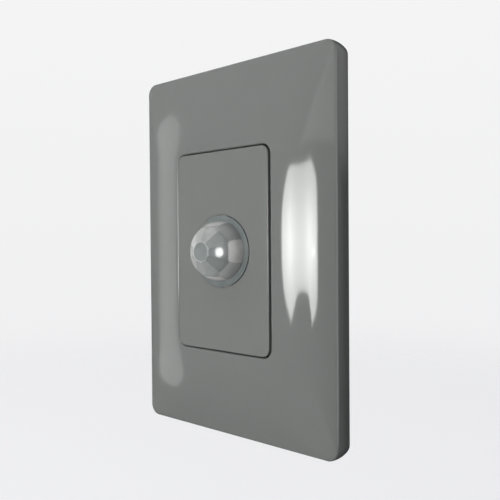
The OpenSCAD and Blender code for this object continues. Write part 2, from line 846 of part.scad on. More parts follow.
module varistor() {
    color([0.1, 0.25, 0.6]) upright() translate([varistor_x, varistor_y, power_back_z]) {
        translate([0, varistor_t / 2, -varistor_r - 1.4]) rotate([90, 0, 0])
            cylinder(r = varistor_r, h = varistor_t);
        for (sx = [-1, 1]) {
            translate([0.5 * sx * varistor_r, 0, -varistor_r]) cylinder(r = 0.4, h = varistor_r);
        }
    }
}

module rectifier() {
    color([0.08, 0.08, 0.08]) upright()
    translate([board_w / 2 - 6.5, rectifier_y, power_back_z]) difference() {
        union() {
            block(-4.2, 4.2, -2.4, 2.4, -3.6, -0.5);
            for (sx = [-1, 1], sy = [-1, 1]) {
                translate([2.54 * sx, 2.6 * sy, 0]) block(-0.6, 0.6, -0.4, 0.4, -2, 0);
            }
        }
        rod(-4.2, 0, 0.7, -4, -3.2);
    }
}

module fuse_resistor() {
    color([0.3, 0.5, 0.6]) upright() translate([0, fuse_y, power_back_z - 2]) {
        rotate([0, 90, 0]) rotate_extrude() polygon([
            [0, -3.6],
            [1.2, -3.6],
            [1.5, -3.2],
            [1.5, -2.2],
            [1.2, -1.8],
            [1.2, 1.8],
            [1.5, 2.2],
            [1.5, 3.2],
            [1.2, 3.6],
            [0, 3.6]
        ]);
        for (sx = [-1, 1]) {
            translate([sx * 3.4, 0, 0]) rotate([0, 90 * sx, 0]) cylinder(r = 0.35, h = 1.8);
            translate([sx * 4.9, 0, -0.35]) cylinder(r = 0.35, h = 2.35);
        }
    }
}

// Terminals: a fixed bar, a cage that rises round it and a captive screw from the back.

module terminal_bars() {
    color([0.8, 0.62, 0.25]) upright() for (i = [-1 : 1]) {
        translate([i * pitch, 0, 0]) {
            block(-bar_w / 2, bar_w / 2, cell_y0 + cage_play, leg_y + bar_t, bar_back_z, bar_front_z);
            block(-bar_w / 2, bar_w / 2, leg_y, leg_y + bar_t, bar_back_z, power_back_z);
        }
    }
}

module cage(i) {
    translate([i * pitch, cage_y, 0]) difference() {
        block(-cage_w / 2, cage_w / 2, -cage_l / 2, cage_l / 2, cage_back_z, cage_front_z);
        block(-cage_w / 2 + cage_wall, cage_w / 2 - cage_wall, -cage_l, cage_l,
            cage_back_z + cage_nut_t, cage_front_z - cage_wall);
        rod(0, 0, screw_r + run_play, cage_back_z - 1, cage_back_z + cage_nut_t + 1);
    }
}

module clamp_screw(i) {
    translate([i * pitch, cage_y, 0]) difference() {
        union() {
            rod(0, 0, head_r, head_back_z, head_z);
            rod(0, 0, screw_r, head_z - 0.5, screw_tip_z - 0.6);
            translate([0, 0, screw_tip_z - 0.6]) cylinder(r1 = screw_r, r2 = screw_r - 0.5, h = 0.6);
        }
        block(-head_r - 1, head_r + 1, -0.5, 0.5, head_back_z - 1, head_back_z + 1.1);
        block(-0.5, 0.5, -1.8, 1.8, head_back_z - 1, head_back_z + 1.1);
    }
}

module line_cage() {
    color([0.8, 0.62, 0.25]) upright() cage(-1);
}

module load_cage() {
    color([0.8, 0.62, 0.25]) upright() cage(0);
}

module neutral_cage() {
    color([0.8, 0.62, 0.25]) upright() cage(1);
}

module line_screw() {
    color([0.7, 0.7, 0.72]) upright() clamp_screw(-1);
}

module load_screw() {
    color([0.7, 0.7, 0.72]) upright() clamp_screw(0);
}

module neutral_screw() {
    color([0.7, 0.7, 0.72]) upright() clamp_screw(1);
}

cover_plate();
sensor_cover();
lens_dome();
support_frame();
housing_front();
housing_rear();
housing_screws();
sensor_board();
pir_can();
pir_window();
status_lamp();
light_sensor();
controller_chip();
time_trimmer();
lux_trimmer();
time_dial();
lux_dial();
board_header();
power_board();
relay();
film_capacitor();
smoothing_capacitor();
varistor();
rectifier();
fuse_resistor();
terminal_bars();
line_cage();
load_cage();
neutral_cage();
line_screw();
load_screw();
neutral_screw();
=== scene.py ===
import math
from functools import partial

import bmesh
import bpy
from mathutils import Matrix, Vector


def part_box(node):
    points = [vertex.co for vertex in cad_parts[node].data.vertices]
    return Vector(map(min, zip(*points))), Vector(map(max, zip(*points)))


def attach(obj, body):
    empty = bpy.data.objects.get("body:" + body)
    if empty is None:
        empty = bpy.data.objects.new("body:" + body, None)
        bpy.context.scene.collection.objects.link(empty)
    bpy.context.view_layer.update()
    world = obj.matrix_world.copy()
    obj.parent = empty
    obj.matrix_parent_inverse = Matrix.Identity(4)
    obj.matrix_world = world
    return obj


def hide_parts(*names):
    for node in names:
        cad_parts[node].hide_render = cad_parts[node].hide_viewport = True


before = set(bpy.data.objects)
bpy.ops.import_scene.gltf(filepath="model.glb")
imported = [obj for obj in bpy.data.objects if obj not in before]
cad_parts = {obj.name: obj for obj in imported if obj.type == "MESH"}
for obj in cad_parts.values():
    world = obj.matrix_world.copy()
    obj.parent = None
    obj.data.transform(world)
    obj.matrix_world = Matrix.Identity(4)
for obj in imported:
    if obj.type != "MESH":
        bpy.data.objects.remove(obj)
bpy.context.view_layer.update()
scene = bpy.context.scene
scene.view_settings.view_transform = "Standard"

# Support frame: the black glass-filled nylon yoke that two screws pull onto the wall box.
# It is moulded in one shot, with a raised rim, a rail for the module and four plate catches,
# and its skin keeps the fine spark finish of the mould.


def fill(tree, node, inputs):
    """Gives each named input of a node a plain value or another node's output."""
    for key, value in inputs.items():
        if isinstance(value, bpy.types.NodeSocket):
            tree.links.new(value, node.inputs[key])
        else:
            node.inputs[key].default_value = value


def put(tree, kind, inputs=None, **settings):
    """Adds a node with these settings and inputs."""
    made = tree.nodes.new(kind)
    for key, value in settings.items():
        setattr(made, key, value)
    fill(tree, made, inputs or {})
    return made


def first(tree, kind, inputs=None, **settings):
    """Adds a node and gives its first output."""
    return put(tree, kind, inputs, **settings).outputs[0]


def sums(tree, operation, *values):
    """One step of arithmetic on node outputs or plain values."""
    return first(tree, "ShaderNodeMath", dict(enumerate(values)), operation=operation)


def own_place(tree):
    """The place on the object that a material is at."""
    return put(tree, "ShaderNodeTexCoord").outputs["Object"]


def noise(tree, spot, scale, detail):
    return first(tree, "ShaderNodeTexNoise", {"Vector": spot, "Scale": scale, "Detail": detail})


def scaled(tree, colour, amount):
    return first(tree, "ShaderNodeVectorMath", {0: colour, "Scale": amount}, operation="SCALE")


def skin_group(name, inputs):
    """A shader node group for a skin, with named sockets; gives the tree and its inputs."""
    tree = bpy.data.node_groups.new(name, "ShaderNodeTree")
    outputs = {"Colour": "Color", "Roughness": "Float", "Height": "Float"}
    for side, sockets in (("INPUT", inputs), ("OUTPUT", outputs)):
        for label, kind in sockets.items():
            tree.interface.new_socket(label, in_out=side, socket_type="NodeSocket" + kind)
    return tree, put(tree, "NodeGroupInput").outputs


# Moulded skin: slow drift of the pigment, uneven polish and the grain of the tool
moulded_skin, given = skin_group("moulded_skin", {
    "Colour": "Color", "Drift": "Float", "Cloud": "Float", "Polish": "Float", "Unevenness": "Float",
    "Grain": "Float",
})
WIPED = (900.0, 900.0, 60.0)
spot = own_place(moulded_skin)
cloud = noise(moulded_skin, spot, given["Cloud"], detail=3.0)
swing = sums(moulded_skin, "SUBTRACT", cloud, 0.5)
shift = sums(moulded_skin, "MULTIPLY_ADD", swing, given["Drift"], 1.0)
tone = scaled(moulded_skin, given["Colour"], shift)
wipe = first(moulded_skin, "ShaderNodeMapping", {"Vector": spot, "Scale": WIPED})
rub = noise(moulded_skin, wipe, scale=1.0, detail=2.0)
lean = sums(moulded_skin, "SUBTRACT", sums(moulded_skin, "ADD", rub, cloud), 1.0)
polish = sums(moulded_skin, "MULTIPLY_ADD", lean, given["Unevenness"], given["Polish"])
grain = noise(moulded_skin, spot, given["Grain"], detail=2.0)
put(moulded_skin, "NodeGroupOutput", {"Colour": tone, "Roughness": polish, "Height": grain})


def blank_material(name):
    material = bpy.data.materials.new(name)
    material.use_nodes = True
    return material, material.node_tree, material.node_tree.nodes["Principled BSDF"]


def skinned(name, skin, values, depth, ease, metallic=0.0, clearness=0.0):
    """A material with a skin group on its colour, roughness and height; ease softens sharp edges."""
    material, tree, shader = blank_material(name)
    coat = put(tree, "ShaderNodeGroup", values, node_tree=skin).outputs
    bump = put(tree, "ShaderNodeBump", {"Height": coat["Height"], "Distance": depth})
    if ease:
        fill(tree, bump, {"Normal": first(tree, "ShaderNodeBevel", {"Radius": ease}, samples=4)})
    fill(tree, shader, {
        "Base Color": coat["Colour"], "Roughness": coat["Roughness"], "Normal": bump.outputs[0],
        "Metallic": metallic, "Transmission Weight": clearness,
    })
    return material


def moulded(name, colour, polish, drift=0.3, cloud=140.0, unevenness=0.1, grain=2600.0, depth=2e-5,
            ease=2e-4, clearness=0.0):
    values = {"Colour": (*colour, 1.0), "Drift": drift, "Cloud": cloud, "Polish": polish,
              "Unevenness": unevenness, "Grain": grain}
    return skinned(name, moulded_skin, values, depth, ease, clearness=clearness)


def dress(material, *nodes):
    """Gives carried-over solids their finish."""
    for name in nodes:
        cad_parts[name].material_slots[0].material = material


dress(moulded("black_nylon", (0.03, 0.03, 0.032), 0.5, drift=0.5, depth=4e-5), "support_frame")

# Housing rear: the box behind the wall, light grey flame-proof moulding with a matt skin,
# with three terminal cells across its lower end and two screw seats at its upper end.
dress(moulded("light_case", (0.56, 0.56, 0.54), 0.48, drift=0.16, depth=4e-5), "housing_rear")

# Terminals: a fixed brass bar, a pressed brass cage that rises round it, and a zinc plated
# captive screw turned from the back, three times over. Each screw moves only its own cage.


def ranged(tree, value, span, to=(0.0, 1.0), smooth=False):
    """Carries a span of values over to another one, and holds at its ends."""
    return first(tree, "ShaderNodeMapRange", {
        "Value": value, "From Min": span[0], "From Max": span[1], "To Min": to[0], "To Max": to[1],
    }, interpolation_type="SMOOTHSTEP" if smooth else "LINEAR")


def blend(tree, share, one, other):
    """A colour between two."""
    return put(tree, "ShaderNodeMix", {0: share, 6: one, 7: other}, data_type="RGBA").outputs[2]


# Drawn metal: streaks along the rolling direction, and dull patches
metal_skin, given = skin_group("metal_skin", {
    "Colour": "Color", "Dull colour": "Color", "Dulling": "Float", "Polish": "Float", "Streak": "Vector",
})
STREAK_MATT, PATCH_MATT = 0.22, 0.2
spot = own_place(metal_skin)
drawn = first(metal_skin, "ShaderNodeMapping", {"Vector": spot, "Scale": given["Streak"]})
streak = noise(metal_skin, drawn, scale=1.0, detail=4.0)
patch = noise(metal_skin, spot, scale=420.0, detail=4.0)
dull = ranged(metal_skin, patch, span=(0.45, 0.7), to=(0.0, given["Dulling"]))
colour = blend(metal_skin, dull, given["Colour"], given["Dull colour"])
gleam = sums(metal_skin, "MULTIPLY_ADD", streak, STREAK_MATT, given["Polish"])
matt = sums(metal_skin, "MULTIPLY_ADD", dull, PATCH_MATT, gleam)
put(metal_skin, "NodeGroupOutput", {"Colour": colour, "Roughness": matt, "Height": streak})


def metal(name, colour, dull_colour, dulling, polish, streak=(300.0, 300.0, 4000.0)):
    values = {"Colour": (*colour, 1.0), "Dull colour": (*dull_colour, 1.0), "Dulling": dulling,
              "Polish": polish, "Streak": streak}
    return skinned(name, metal_skin, values, depth=6e-6, ease=1.2e-4, metallic=1.0)


brass = metal("pressed_brass", (0.83, 0.6, 0.27), (0.5, 0.33, 0.15), 0.6, 0.2)
zinc = metal("zinc_plate", (0.74, 0.75, 0.77), (0.5, 0.5, 0.49), 0.5, 0.16, streak=(2600.0, 400.0, 2600.0))
dress(brass, "terminal_bars", "line_cage", "load_cage", "neutral_cage")


def shape_tree(name, inputs, output):
    """A geometry tree with named inputs and one shape as its output; gives the tree and its inputs."""
    tree = bpy.data.node_groups.new(name, "GeometryNodeTree")
    for label, kind in inputs.items():
        tree.interface.new_socket(label, in_out="INPUT", socket_type="NodeSocket" + kind)
    tree.interface.new_socket(output, in_out="OUTPUT", socket_type="NodeSocketGeometry")
    return tree, put(tree, "NodeGroupInput").outputs


def repeat_zone(tree):
    """The two ends of a stretch of the tree that is run over and over."""
    start, stop = put(tree, "GeometryNodeRepeatInput"), put(tree, "GeometryNodeRepeatOutput")
    start.pair_with_output(stop)
    return start, stop


def welded(tree, parts, distance):
    """Joins parts and welds the points that meet."""
    whole = put(tree, "GeometryNodeJoinGeometry")
    for part in parts:
        tree.links.new(part, whole.inputs[0])
    return first(tree, "GeometryNodeMergeByDistance", {"Geometry": whole.outputs[0], "Distance": distance})


# Every screw is turned by one tree: tip, rolled thread, flat under the head, head, bevel, slots
screw_tree, asked = shape_tree("turned_screw", {
    "First place": "Vector", "Step": "Vector", "Count": "Int", "Turn": "Rotation",
    "Shank radius": "Float", "Tip": "Float", "Thread pitch": "Float", "Threads": "Int",
    "Thread depth": "Float", "Neck": "Float", "Head radius": "Float", "Head height": "Float",
    "Bevel": "Float", "Slot length": "Float", "Cross length": "Float", "Slot width": "Float",
    "Slot depth": "Float", "Finish": "Material",
}, "Screw")
screw_node, screw_sum = partial(first, screw_tree), partial(sums, screw_tree)
ROUND, TIP_TAPER = 48, 0.7


def pulled(mesh, chosen, rise, scale):
    """Draws the chosen end face up by rise, then widens or narrows it."""
    up = screw_node("ShaderNodeCombineXYZ", {"Z": rise})
    raised = put(screw_tree, "GeometryNodeExtrudeMesh", {
        "Mesh": mesh, "Selection": chosen, "Offset Scale": 1.0, "Offset": up, "Individual": False}).outputs
    sized = screw_node("GeometryNodeScaleElements", {
        "Geometry": raised["Mesh"], "Selection": raised["Top"], "Scale": scale})
    return sized, raised["Top"]


tip_radius = screw_sum("MULTIPLY", asked["Shank radius"], TIP_TAPER)
blank = screw_node("GeometryNodeMeshCircle", {"Vertices": ROUND, "Radius": tip_radius}, fill_type="NGON")
shape, end = pulled(blank, True, asked["Tip"], 1 / TIP_TAPER)
half_pitch = screw_sum("MULTIPLY", asked["Thread pitch"], 0.5)
root = screw_sum("SUBTRACT", 1.0, asked["Thread depth"])
crest = screw_sum("DIVIDE", 1.0, root)
start, stop = repeat_zone(screw_tree)
stop.repeat_items.new("BOOLEAN", "End")
fill(screw_tree, start, {"Iterations": asked["Threads"], "Geometry": shape, "End": end})
shape, end = pulled(start.outputs["Geometry"], start.outputs["End"], half_pitch, root)
shape, end = pulled(shape, end, half_pitch, crest)
fill(screw_tree, stop, {"Geometry": shape, "End": end})
shape, end = pulled(stop.outputs["Geometry"], stop.outputs["End"], asked["Neck"], 1.0)
flare = screw_sum("DIVIDE", asked["Head radius"], asked["Shank radius"])
shape, end = pulled(shape, end, 0.0, flare)
straight = screw_sum("SUBTRACT", asked["Head height"], asked["Bevel"])
shape, end = pulled(shape, end, straight, 1.0)
narrow = screw_sum("SUBTRACT", 1.0, screw_sum("DIVIDE", asked["Bevel"], asked["Head radius"]))
shape, end = pulled(shape, end, asked["Bevel"], narrow)
closed = screw_node("GeometryNodeFlipFaces", {"Mesh": blank})
sound = welded(screw_tree, (shape, closed), 1e-7)
# the slots are cut down from the top of the head
thread_length = screw_sum("MULTIPLY", asked["Thread pitch"], asked["Threads"])
under = screw_sum("ADD", screw_sum("ADD", asked["Tip"], thread_length), asked["Neck"])
top = screw_node("ShaderNodeCombineXYZ", {"Z": screw_sum("ADD", under, asked["Head height"])})
deep = screw_sum("MULTIPLY", asked["Slot depth"], 2.0)
slotted = put(
    screw_tree, "GeometryNodeMeshBoolean", {"Mesh 1": sound}, operation="DIFFERENCE", solver="EXACT")
for x, y in (("Slot length", "Slot width"), ("Slot width", "Cross length")):
    size = screw_node("ShaderNodeCombineXYZ", {"X": asked[x], "Y": asked[y], "Z": deep})
    bar = screw_node("GeometryNodeMeshCube", {"Size": size})
    cut = screw_node("GeometryNodeTransform", {"Geometry": bar, "Translation": top})
    screw_tree.links.new(cut, slotted.inputs["Mesh 2"])
row_of = screw_node("GeometryNodeMeshLine", {
    "Count": asked["Count"], "Start Location": asked["First place"], "Offset": asked["Step"]})
placed = screw_node("GeometryNodeInstanceOnPoints", {
    "Points": row_of, "Instance": slotted.outputs["Mesh"], "Rotation": asked["Turn"]})


def put_out(tree, shape, finish):
    """Makes any copies real, gives the shape its finish and puts it out of the tree."""
    real = first(tree, "GeometryNodeRealizeInstances", {"Geometry": shape})
    finished = first(tree, "GeometryNodeSetMaterial", {"Geometry": real, "Material": finish})
    put(tree, "NodeGroupOutput", {0: finished})


put_out(screw_tree, placed, asked["Finish"])


def placed_piece(name, data):
    piece = bpy.data.objects.new(name, data)
    scene.collection.objects.link(piece)
    return piece


def smoothed(mesh, sharp):
    mesh.shade_smooth()
    mesh.set_sharp_from_angle(angle=math.radians(sharp))


def grown(name, tree, values, sharp):
    """Runs a geometry tree with these values and keeps the result as a plain mesh."""
    piece = placed_piece(name, bpy.data.meshes.new(name + "_blank"))
    maker = piece.modifiers.new(name, "NODES")
    maker.node_group = tree
    for item in tree.interface.items_tree:
        if item.item_type == "SOCKET" and item.in_out == "INPUT":
            maker[item.identifier] = values[item.name]
    evaluated = piece.evaluated_get(bpy.context.evaluated_depsgraph_get())
    mesh = bpy.data.meshes.new_from_object(evaluated)
    piece.modifiers.remove(maker)
    piece.data = mesh
    mesh.name = name
    smoothed(mesh, sharp)
    return piece


# the head of each screw faces the back of the box, +Y
FACING_BACK = (-math.pi / 2, 0.0, 0.0)
for pole in ("line", "load", "neutral"):
    low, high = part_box(pole + "_screw")
    head_radius, head_height, shank_radius, tip, neck = 0.003, 0.002, 0.0017, 0.0006, 0.0008
    length = high.y - low.y - head_height - tip - neck
    turns = 10
    screw = grown(pole + "_terminal_screw", screw_tree, {
        "First place": ((low.x + high.x) / 2, low.y, (low.z + high.z) / 2), "Step": (0.0, 0.0, 0.0),
        "Count": 1, "Turn": FACING_BACK, "Shank radius": shank_radius, "Tip": tip,
        "Thread pitch": length / turns, "Threads": turns, "Thread depth": 0.14, "Neck": neck,
        "Head radius": head_radius, "Head height": head_height, "Bevel": 0.0003, "Slot length": 0.008,
        "Cross length": 0.0036, "Slot width": 0.001, "Slot depth": 0.0011, "Finish": zinc,
    }, sharp=30)
    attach(screw, pole + "_screw")
    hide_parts(pole + "_screw")

# Power board: a green fibreglass board that the front half's fingers hold against the rear
# half. It carries the relay that switches the lamp, and the small supply for the sensor.

board, tree, shader = blank_material("green_board")
BLACK, WHITE = (0.0, 0.0, 0.0, 1.0), (1.0, 1.0, 1.0, 1.0)
spot = own_place(tree)
bent = noise(tree, spot, scale=90.0, detail=0.0)
square = put(tree, "ShaderNodeTexBrick", {
    "Vector": spot, "Scale": 160.0, "Mortar Size": 0.08, "Mortar Smooth": 0.05, "Brick Width": 1.9,
    "Row Height": 0.42, "Color1": BLACK, "Color2": BLACK, "Mortar": WHITE,
}, offset=0.37)
track = sums(tree, "MULTIPLY", square.outputs["Color"], ranged(tree, bent, span=(0.48, 0.52)))
weave = noise(tree, spot, scale=1500.0, detail=2.0)
mask_green = blend(tree, weave, (0.012, 0.1, 0.045, 1), (0.02, 0.15, 0.07, 1))
over_copper = blend(tree, track, mask_green, (0.035, 0.23, 0.1, 1))
raised = first(tree, "ShaderNodeBump", {"Height": track, "Distance": 3e-5})
fill(tree, shader, {"Base Color": over_copper, "Normal": raised, "Roughness": 0.32})
dress(board, "power_board", "sensor_board")

dress(moulded("relay_case", (0.018, 0.06, 0.26), 0.3, drift=0.2), "relay")
dress(moulded("film_case", (0.62, 0.4, 0.03), 0.28, drift=0.2), "film_capacitor")
dress(moulded("shrink_sleeve", (0.022, 0.022, 0.035), 0.25, drift=0.3, grain=900.0), "smoothing_capacitor")
dress(moulded("varistor_coat", (0.025, 0.09, 0.3), 0.35, drift=0.3, grain=1400.0, depth=6e-5), "varistor")
chip_compound = moulded("chip_compound", (0.018, 0.018, 0.019), 0.55, drift=0.4, depth=3e-5)
dress(chip_compound, "rectifier", "controller_chip")
dress(moulded("resistor_paint", (0.1, 0.27, 0.37), 0.4, drift=0.3), "fuse_resistor")

# Sensor board: carries the infrared sensor in its nickel can under the middle of the dome,
# a lamp and a light sensor beside it, the controller on its back, and the pin header.
NICKEL_STREAK = (400.0, 3000.0, 400.0)
dress(metal("nickel_can", (0.68, 0.67, 0.65), (0.5, 0.49, 0.46), 0.4, 0.18, streak=NICKEL_STREAK), "pir_can")
dress(moulded("infrared_filter", (0.035, 0.03, 0.036), 0.08, drift=0.2, unevenness=0.03), "pir_window")
dress(moulded("red_resin", (0.5, 0.02, 0.02), 0.12, drift=0.2, clearness=0.4), "status_lamp")
dress(moulded("clear_resin", (0.75, 0.8, 0.82), 0.08, drift=0.1, clearness=0.6), "light_sensor")
dress(moulded("header_strip", (0.02, 0.02, 0.021), 0.45, drift=0.3), "board_header")

# Trimmers and dials: the black trimmers sit on the sensor board, and their orange dials are
# turned with a screwdriver through the deck once the cover is off.
dress(moulded("trimmer_body", (0.025, 0.025, 0.026), 0.5, drift=0.3), "time_trimmer", "lux_trimmer")
dress(moulded("dial_orange", (0.8, 0.32, 0.035), 0.42, drift=0.16), "time_dial", "lux_dial")

# Housing front: charcoal moulding with the deck under the cover, the collar that rests on
# the frame's rail and four spring latches that snap in behind it.
dress(moulded("charcoal_case", (0.04, 0.04, 0.042), 0.5, drift=0.4, depth=4e-5), "housing_front")

# Case screws: two small cross-head screws that pull the rear half onto the front half's
# posts, in counterbored seats at the upper end of the box.
low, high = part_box("housing_screws")
head_radius, head_height, tip, pitch, turns = 0.0022, 0.0014, 0.0008, 0.0008, 9
across = high.x - low.x - 2 * head_radius
case_screws = grown("case_screws", screw_tree, {
    "First place": (low.x + head_radius, low.y, (low.z + high.z) / 2), "Step": (across, 0.0, 0.0),
    "Count": 2, "Turn": FACING_BACK, "Shank radius": 0.0011, "Tip": tip, "Thread pitch": pitch,
    "Threads": turns, "Thread depth": 0.16, "Neck": high.y - low.y - head_height - tip - turns * pitch,
    "Head radius": head_radius, "Head height": head_height, "Bevel": 0.0004, "Slot length": 0.0026,
    "Cross length": 0.0026, "Slot width": 0.0006, "Slot depth": 0.0008, "Finish": zinc,
}, sharp=30)
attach(case_screws, "switch")
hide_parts("housing_screws")

# Lens dome: milky polyethylene, moulded thin, with a flat lens facet at its tip, a ring of ten
# that meet it, and eight that stay on the ball's curve round the foot and differ only in painted shade.
# Its flange is held between cover and deck.

dome_tree, asked = shape_tree("faceted_dome", {
    "Centre": "Vector", "Dome radius": "Float", "Wall": "Float", "Facet depth": "Float",
    "Foot facet depth": "Float", "Inner facets": "Int", "Inner tilt": "Float", "Outer facets": "Int",
    "Outer tilt": "Float", "Foot radius": "Float", "Foot drop": "Float", "Foot steps": "Int",
    "Flange radius": "Float", "Flange top": "Float", "Flange foot": "Float", "Finish": "Material",
}, "Dome")
dome_node, dome_sum = partial(first, dome_tree), partial(sums, dome_tree)
here = dome_node("GeometryNodeInputPosition")
AROUND, DOWN, DOWN_INSIDE = 289, 141, 61


def split(tree, vector):
    return put(tree, "ShaderNodeSeparateXYZ", {0: vector}).outputs


def turned_sheet(rows, radius_of, height_of):
    """A grid rolled round the axis: radius_of and height_of turn a row's place into a ring."""
    grid = dome_node("GeometryNodeMeshGrid", {
        "Size X": 1.0, "Size Y": 1.0, "Vertices X": AROUND, "Vertices Y": rows})
    place = split(dome_tree, here)
    turn = dome_sum("MULTIPLY", dome_sum("ADD", place["X"], 0.5), 2 * math.pi)
    along = dome_sum("ADD", place["Y"], 0.5)
    radius = radius_of(along)
    ring = dome_node("ShaderNodeCombineXYZ", {
        "X": dome_sum("MULTIPLY", radius, dome_sum("COSINE", turn)),
        "Y": dome_sum("MULTIPLY", radius, dome_sum("SINE", turn)),
        "Z": height_of(along),
    })
    return dome_node("GeometryNodeSetPosition", {"Geometry": grid, "Position": ring})


def ball(radius, wave):
    """Turns a row's place into a half ball's radius, by sine, or height, by cosine, from its tip down."""
    def measure(along):
        return dome_sum("MULTIPLY", radius, dome_sum(wave, dome_sum("MULTIPLY", along, math.pi / 2)))
    return measure


def choose(question, no, yes):
    return dome_node("GeometryNodeSwitch", {
        "Switch": question, "False": no, "True": yes}, input_type="FLOAT")


def noted(geometry, name, value, chosen=True):
    """Writes a value on every point, or on the chosen ones."""
    return dome_node("GeometryNodeStoreNamedAttribute", {
        "Geometry": geometry, "Selection": chosen, "Name": name, "Value": value,
    }, data_type="FLOAT", domain="POINT")


def read_note(name):
    return dome_node("GeometryNodeInputNamedAttribute", {"Name": name}, data_type="FLOAT")


outside = turned_sheet(DOWN, ball(asked["Dome radius"], "SINE"), ball(asked["Dome radius"], "COSINE"))
# each facet is a plane; a point keeps the nearest plane's share of its radius, and the next one's
FAR, LEAST_REACH = 9.0, 1e-6
outside = noted(noted(noted(outside, "nearest", FAR), "next", FAR), "facet_tint", 0.0)
facet_count = dome_sum("ADD", dome_sum("ADD", asked["Inner facets"], asked["Outer facets"]), 1.0)
start, stop = repeat_zone(dome_tree)
fill(dome_tree, start, {"Iterations": facet_count, "Geometry": outside})
number = start.outputs["Iteration"]
is_tip = dome_sum("LESS_THAN", number, 0.5)
is_outer = dome_sum("GREATER_THAN", number, asked["Inner facets"])
tilt = choose(is_tip, choose(is_outer, asked["Inner tilt"], asked["Outer tilt"]), 0.0)
in_ring = choose(is_outer, asked["Inner facets"], asked["Outer facets"])
before = choose(is_outer, 1.0, dome_sum("ADD", asked["Inner facets"], 1.0))
place_in_ring = dome_sum("SUBTRACT", number, before)
turn = dome_sum("MULTIPLY", dome_sum("DIVIDE", place_in_ring, in_ring), 2 * math.pi)
flat = dome_node("ShaderNodeCombineXYZ", {
    "X": dome_sum("MULTIPLY", dome_sum("SINE", tilt), dome_sum("COSINE", turn)),
    "Y": dome_sum("MULTIPLY", dome_sum("SINE", tilt), dome_sum("SINE", turn)),
    "Z": dome_sum("COSINE", tilt),
})


def dot(tree, vector, direction):
    made = put(tree, "ShaderNodeVectorMath", {0: vector, 1: direction}, operation="DOT_PRODUCT")
    return made.outputs["Value"]


reach = dome_sum("MAXIMUM", dot(dome_tree, here, flat), LEAST_REACH)
depth = choose(is_outer, asked["Facet depth"], asked["Foot facet depth"])
share = dome_sum("DIVIDE", dome_sum("SUBTRACT", asked["Dome radius"], depth), reach)
nearest = read_note("nearest")
is_nearest = dome_sum("LESS_THAN", share, nearest)
second = choose(is_nearest, dome_sum("MINIMUM", read_note("next"), share), nearest)
# the facet greys are the lens pattern inside the milky wall with painted light and shade on it: 0 is the lit
# light grey and 1 the shaded dark teal. The inner ring darkens step by step from its left to its right, and
# its lower facets are a little darker. Round the foot every second facet is dark, and the upper ones are a
# little darker, as painted shade.
TIP_PAINTED_SHADE, INNER_LEFT = 0.77, 0.2
INNER_FROM_RIGHT = ((3, 0.46), (2, 0.53), (1, 0.71), (0, 0.72))
OUTER_LIGHT, OUTER_DARK = 0.03, 0.48
INNER_UPWARD, OUTER_UPWARD = -0.1, 0.14
half_ring = dome_sum("MULTIPLY", in_ring, 0.5)
steps_from_left = dome_sum("ABSOLUTE", dome_sum("SUBTRACT", place_in_ring, half_ring))
steps_from_right = dome_sum("SUBTRACT", half_ring, steps_from_left)
inner_painted_shade = INNER_LEFT
for steps_away, darkness in INNER_FROM_RIGHT:
    inner_painted_shade = choose(dome_sum("LESS_THAN", steps_from_right, steps_away + 0.5), inner_painted_shade, darkness)
outer_painted_shade = choose(dome_sum("MODULO", place_in_ring, 2.0), OUTER_LIGHT, OUTER_DARK)
ring_painted_shade = choose(is_outer, inner_painted_shade, outer_painted_shade)
upward = choose(is_outer, INNER_UPWARD, OUTER_UPWARD)
height_painted_shade = dome_sum("MULTIPLY_ADD", split(dome_tree, flat)["Y"], upward, ring_painted_shade)
kept = noted(start.outputs["Geometry"], "next", second)
kept = noted(kept, "facet_tint", choose(is_tip, height_painted_shade, TIP_PAINTED_SHADE), is_nearest)
kept = noted(kept, "nearest", dome_sum("MINIMUM", nearest, share))
fill(dome_tree, stop, {"Geometry": kept})
to_next = dome_sum("SUBTRACT", read_note("next"), read_note("nearest"))
edged = noted(stop.outputs["Geometry"], "facet_edge", to_next)
# the round strip between the tip facet and the inner ring is duller than the facets
STRIP_FROM = 0.8
strip_height = dome_sum("MULTIPLY", asked["Dome radius"], STRIP_FROM)
high_up = dome_sum("GREATER_THAN", split(dome_tree, here)["Z"], strip_height)
is_round = dome_sum("GREATER_THAN", read_note("nearest"), 1.0)
edged = noted(edged, "facet_gap", dome_sum("MULTIPLY", is_round, high_up))
flattened = scaled(dome_tree, here, dome_sum("MINIMUM", read_note("nearest"), 1.0))
faceted = dome_node("GeometryNodeSetPosition", {"Geometry": edged, "Position": flattened})
for spent in ("nearest", "next"):
    faceted = dome_node("GeometryNodeRemoveAttribute", {"Geometry": faceted, "Name": spent})
# the stepped foot and the flange below, and the inner wall; these are places between a sheet's rows
AFTER_FIRST, MIDDLE, BEFORE_LAST, AT_LAST = 0.17, 0.5, 0.83, 0.99
FOOT_ROWS, FLANGE_ROWS, BORE_ROWS, FOOT_PAINTED_SHADE = 12, 4, 2, 1.0
inner_radius = dome_sum("SUBTRACT", asked["Dome radius"], asked["Wall"])


def flange_radius(along):
    at_rim = dome_sum("LESS_THAN", along, AFTER_FIRST)
    at_bore = dome_sum("GREATER_THAN", along, BEFORE_LAST)
    return choose(at_rim, choose(at_bore, asked["Flange radius"], inner_radius), asked["Foot radius"])


def flange_height(along):
    return choose(dome_sum("LESS_THAN", along, MIDDLE), asked["Flange foot"], asked["Flange top"])


def foot_step(along, ahead):
    """Which step of the stair round the dome's foot a row stands on, as a share of them all."""
    row = dome_sum("ROUND", dome_sum("MULTIPLY", along, FOOT_ROWS - 1.0))
    step = dome_sum("FLOOR", dome_sum("MULTIPLY", dome_sum("ADD", row, ahead), 0.5))
    return dome_sum("DIVIDE", dome_sum("MINIMUM", step, asked["Foot steps"]), asked["Foot steps"])


def foot_radius(along):
    spread = dome_sum("SUBTRACT", asked["Foot radius"], asked["Dome radius"])
    return dome_sum("MULTIPLY_ADD", foot_step(along, 0.0), spread, asked["Dome radius"])


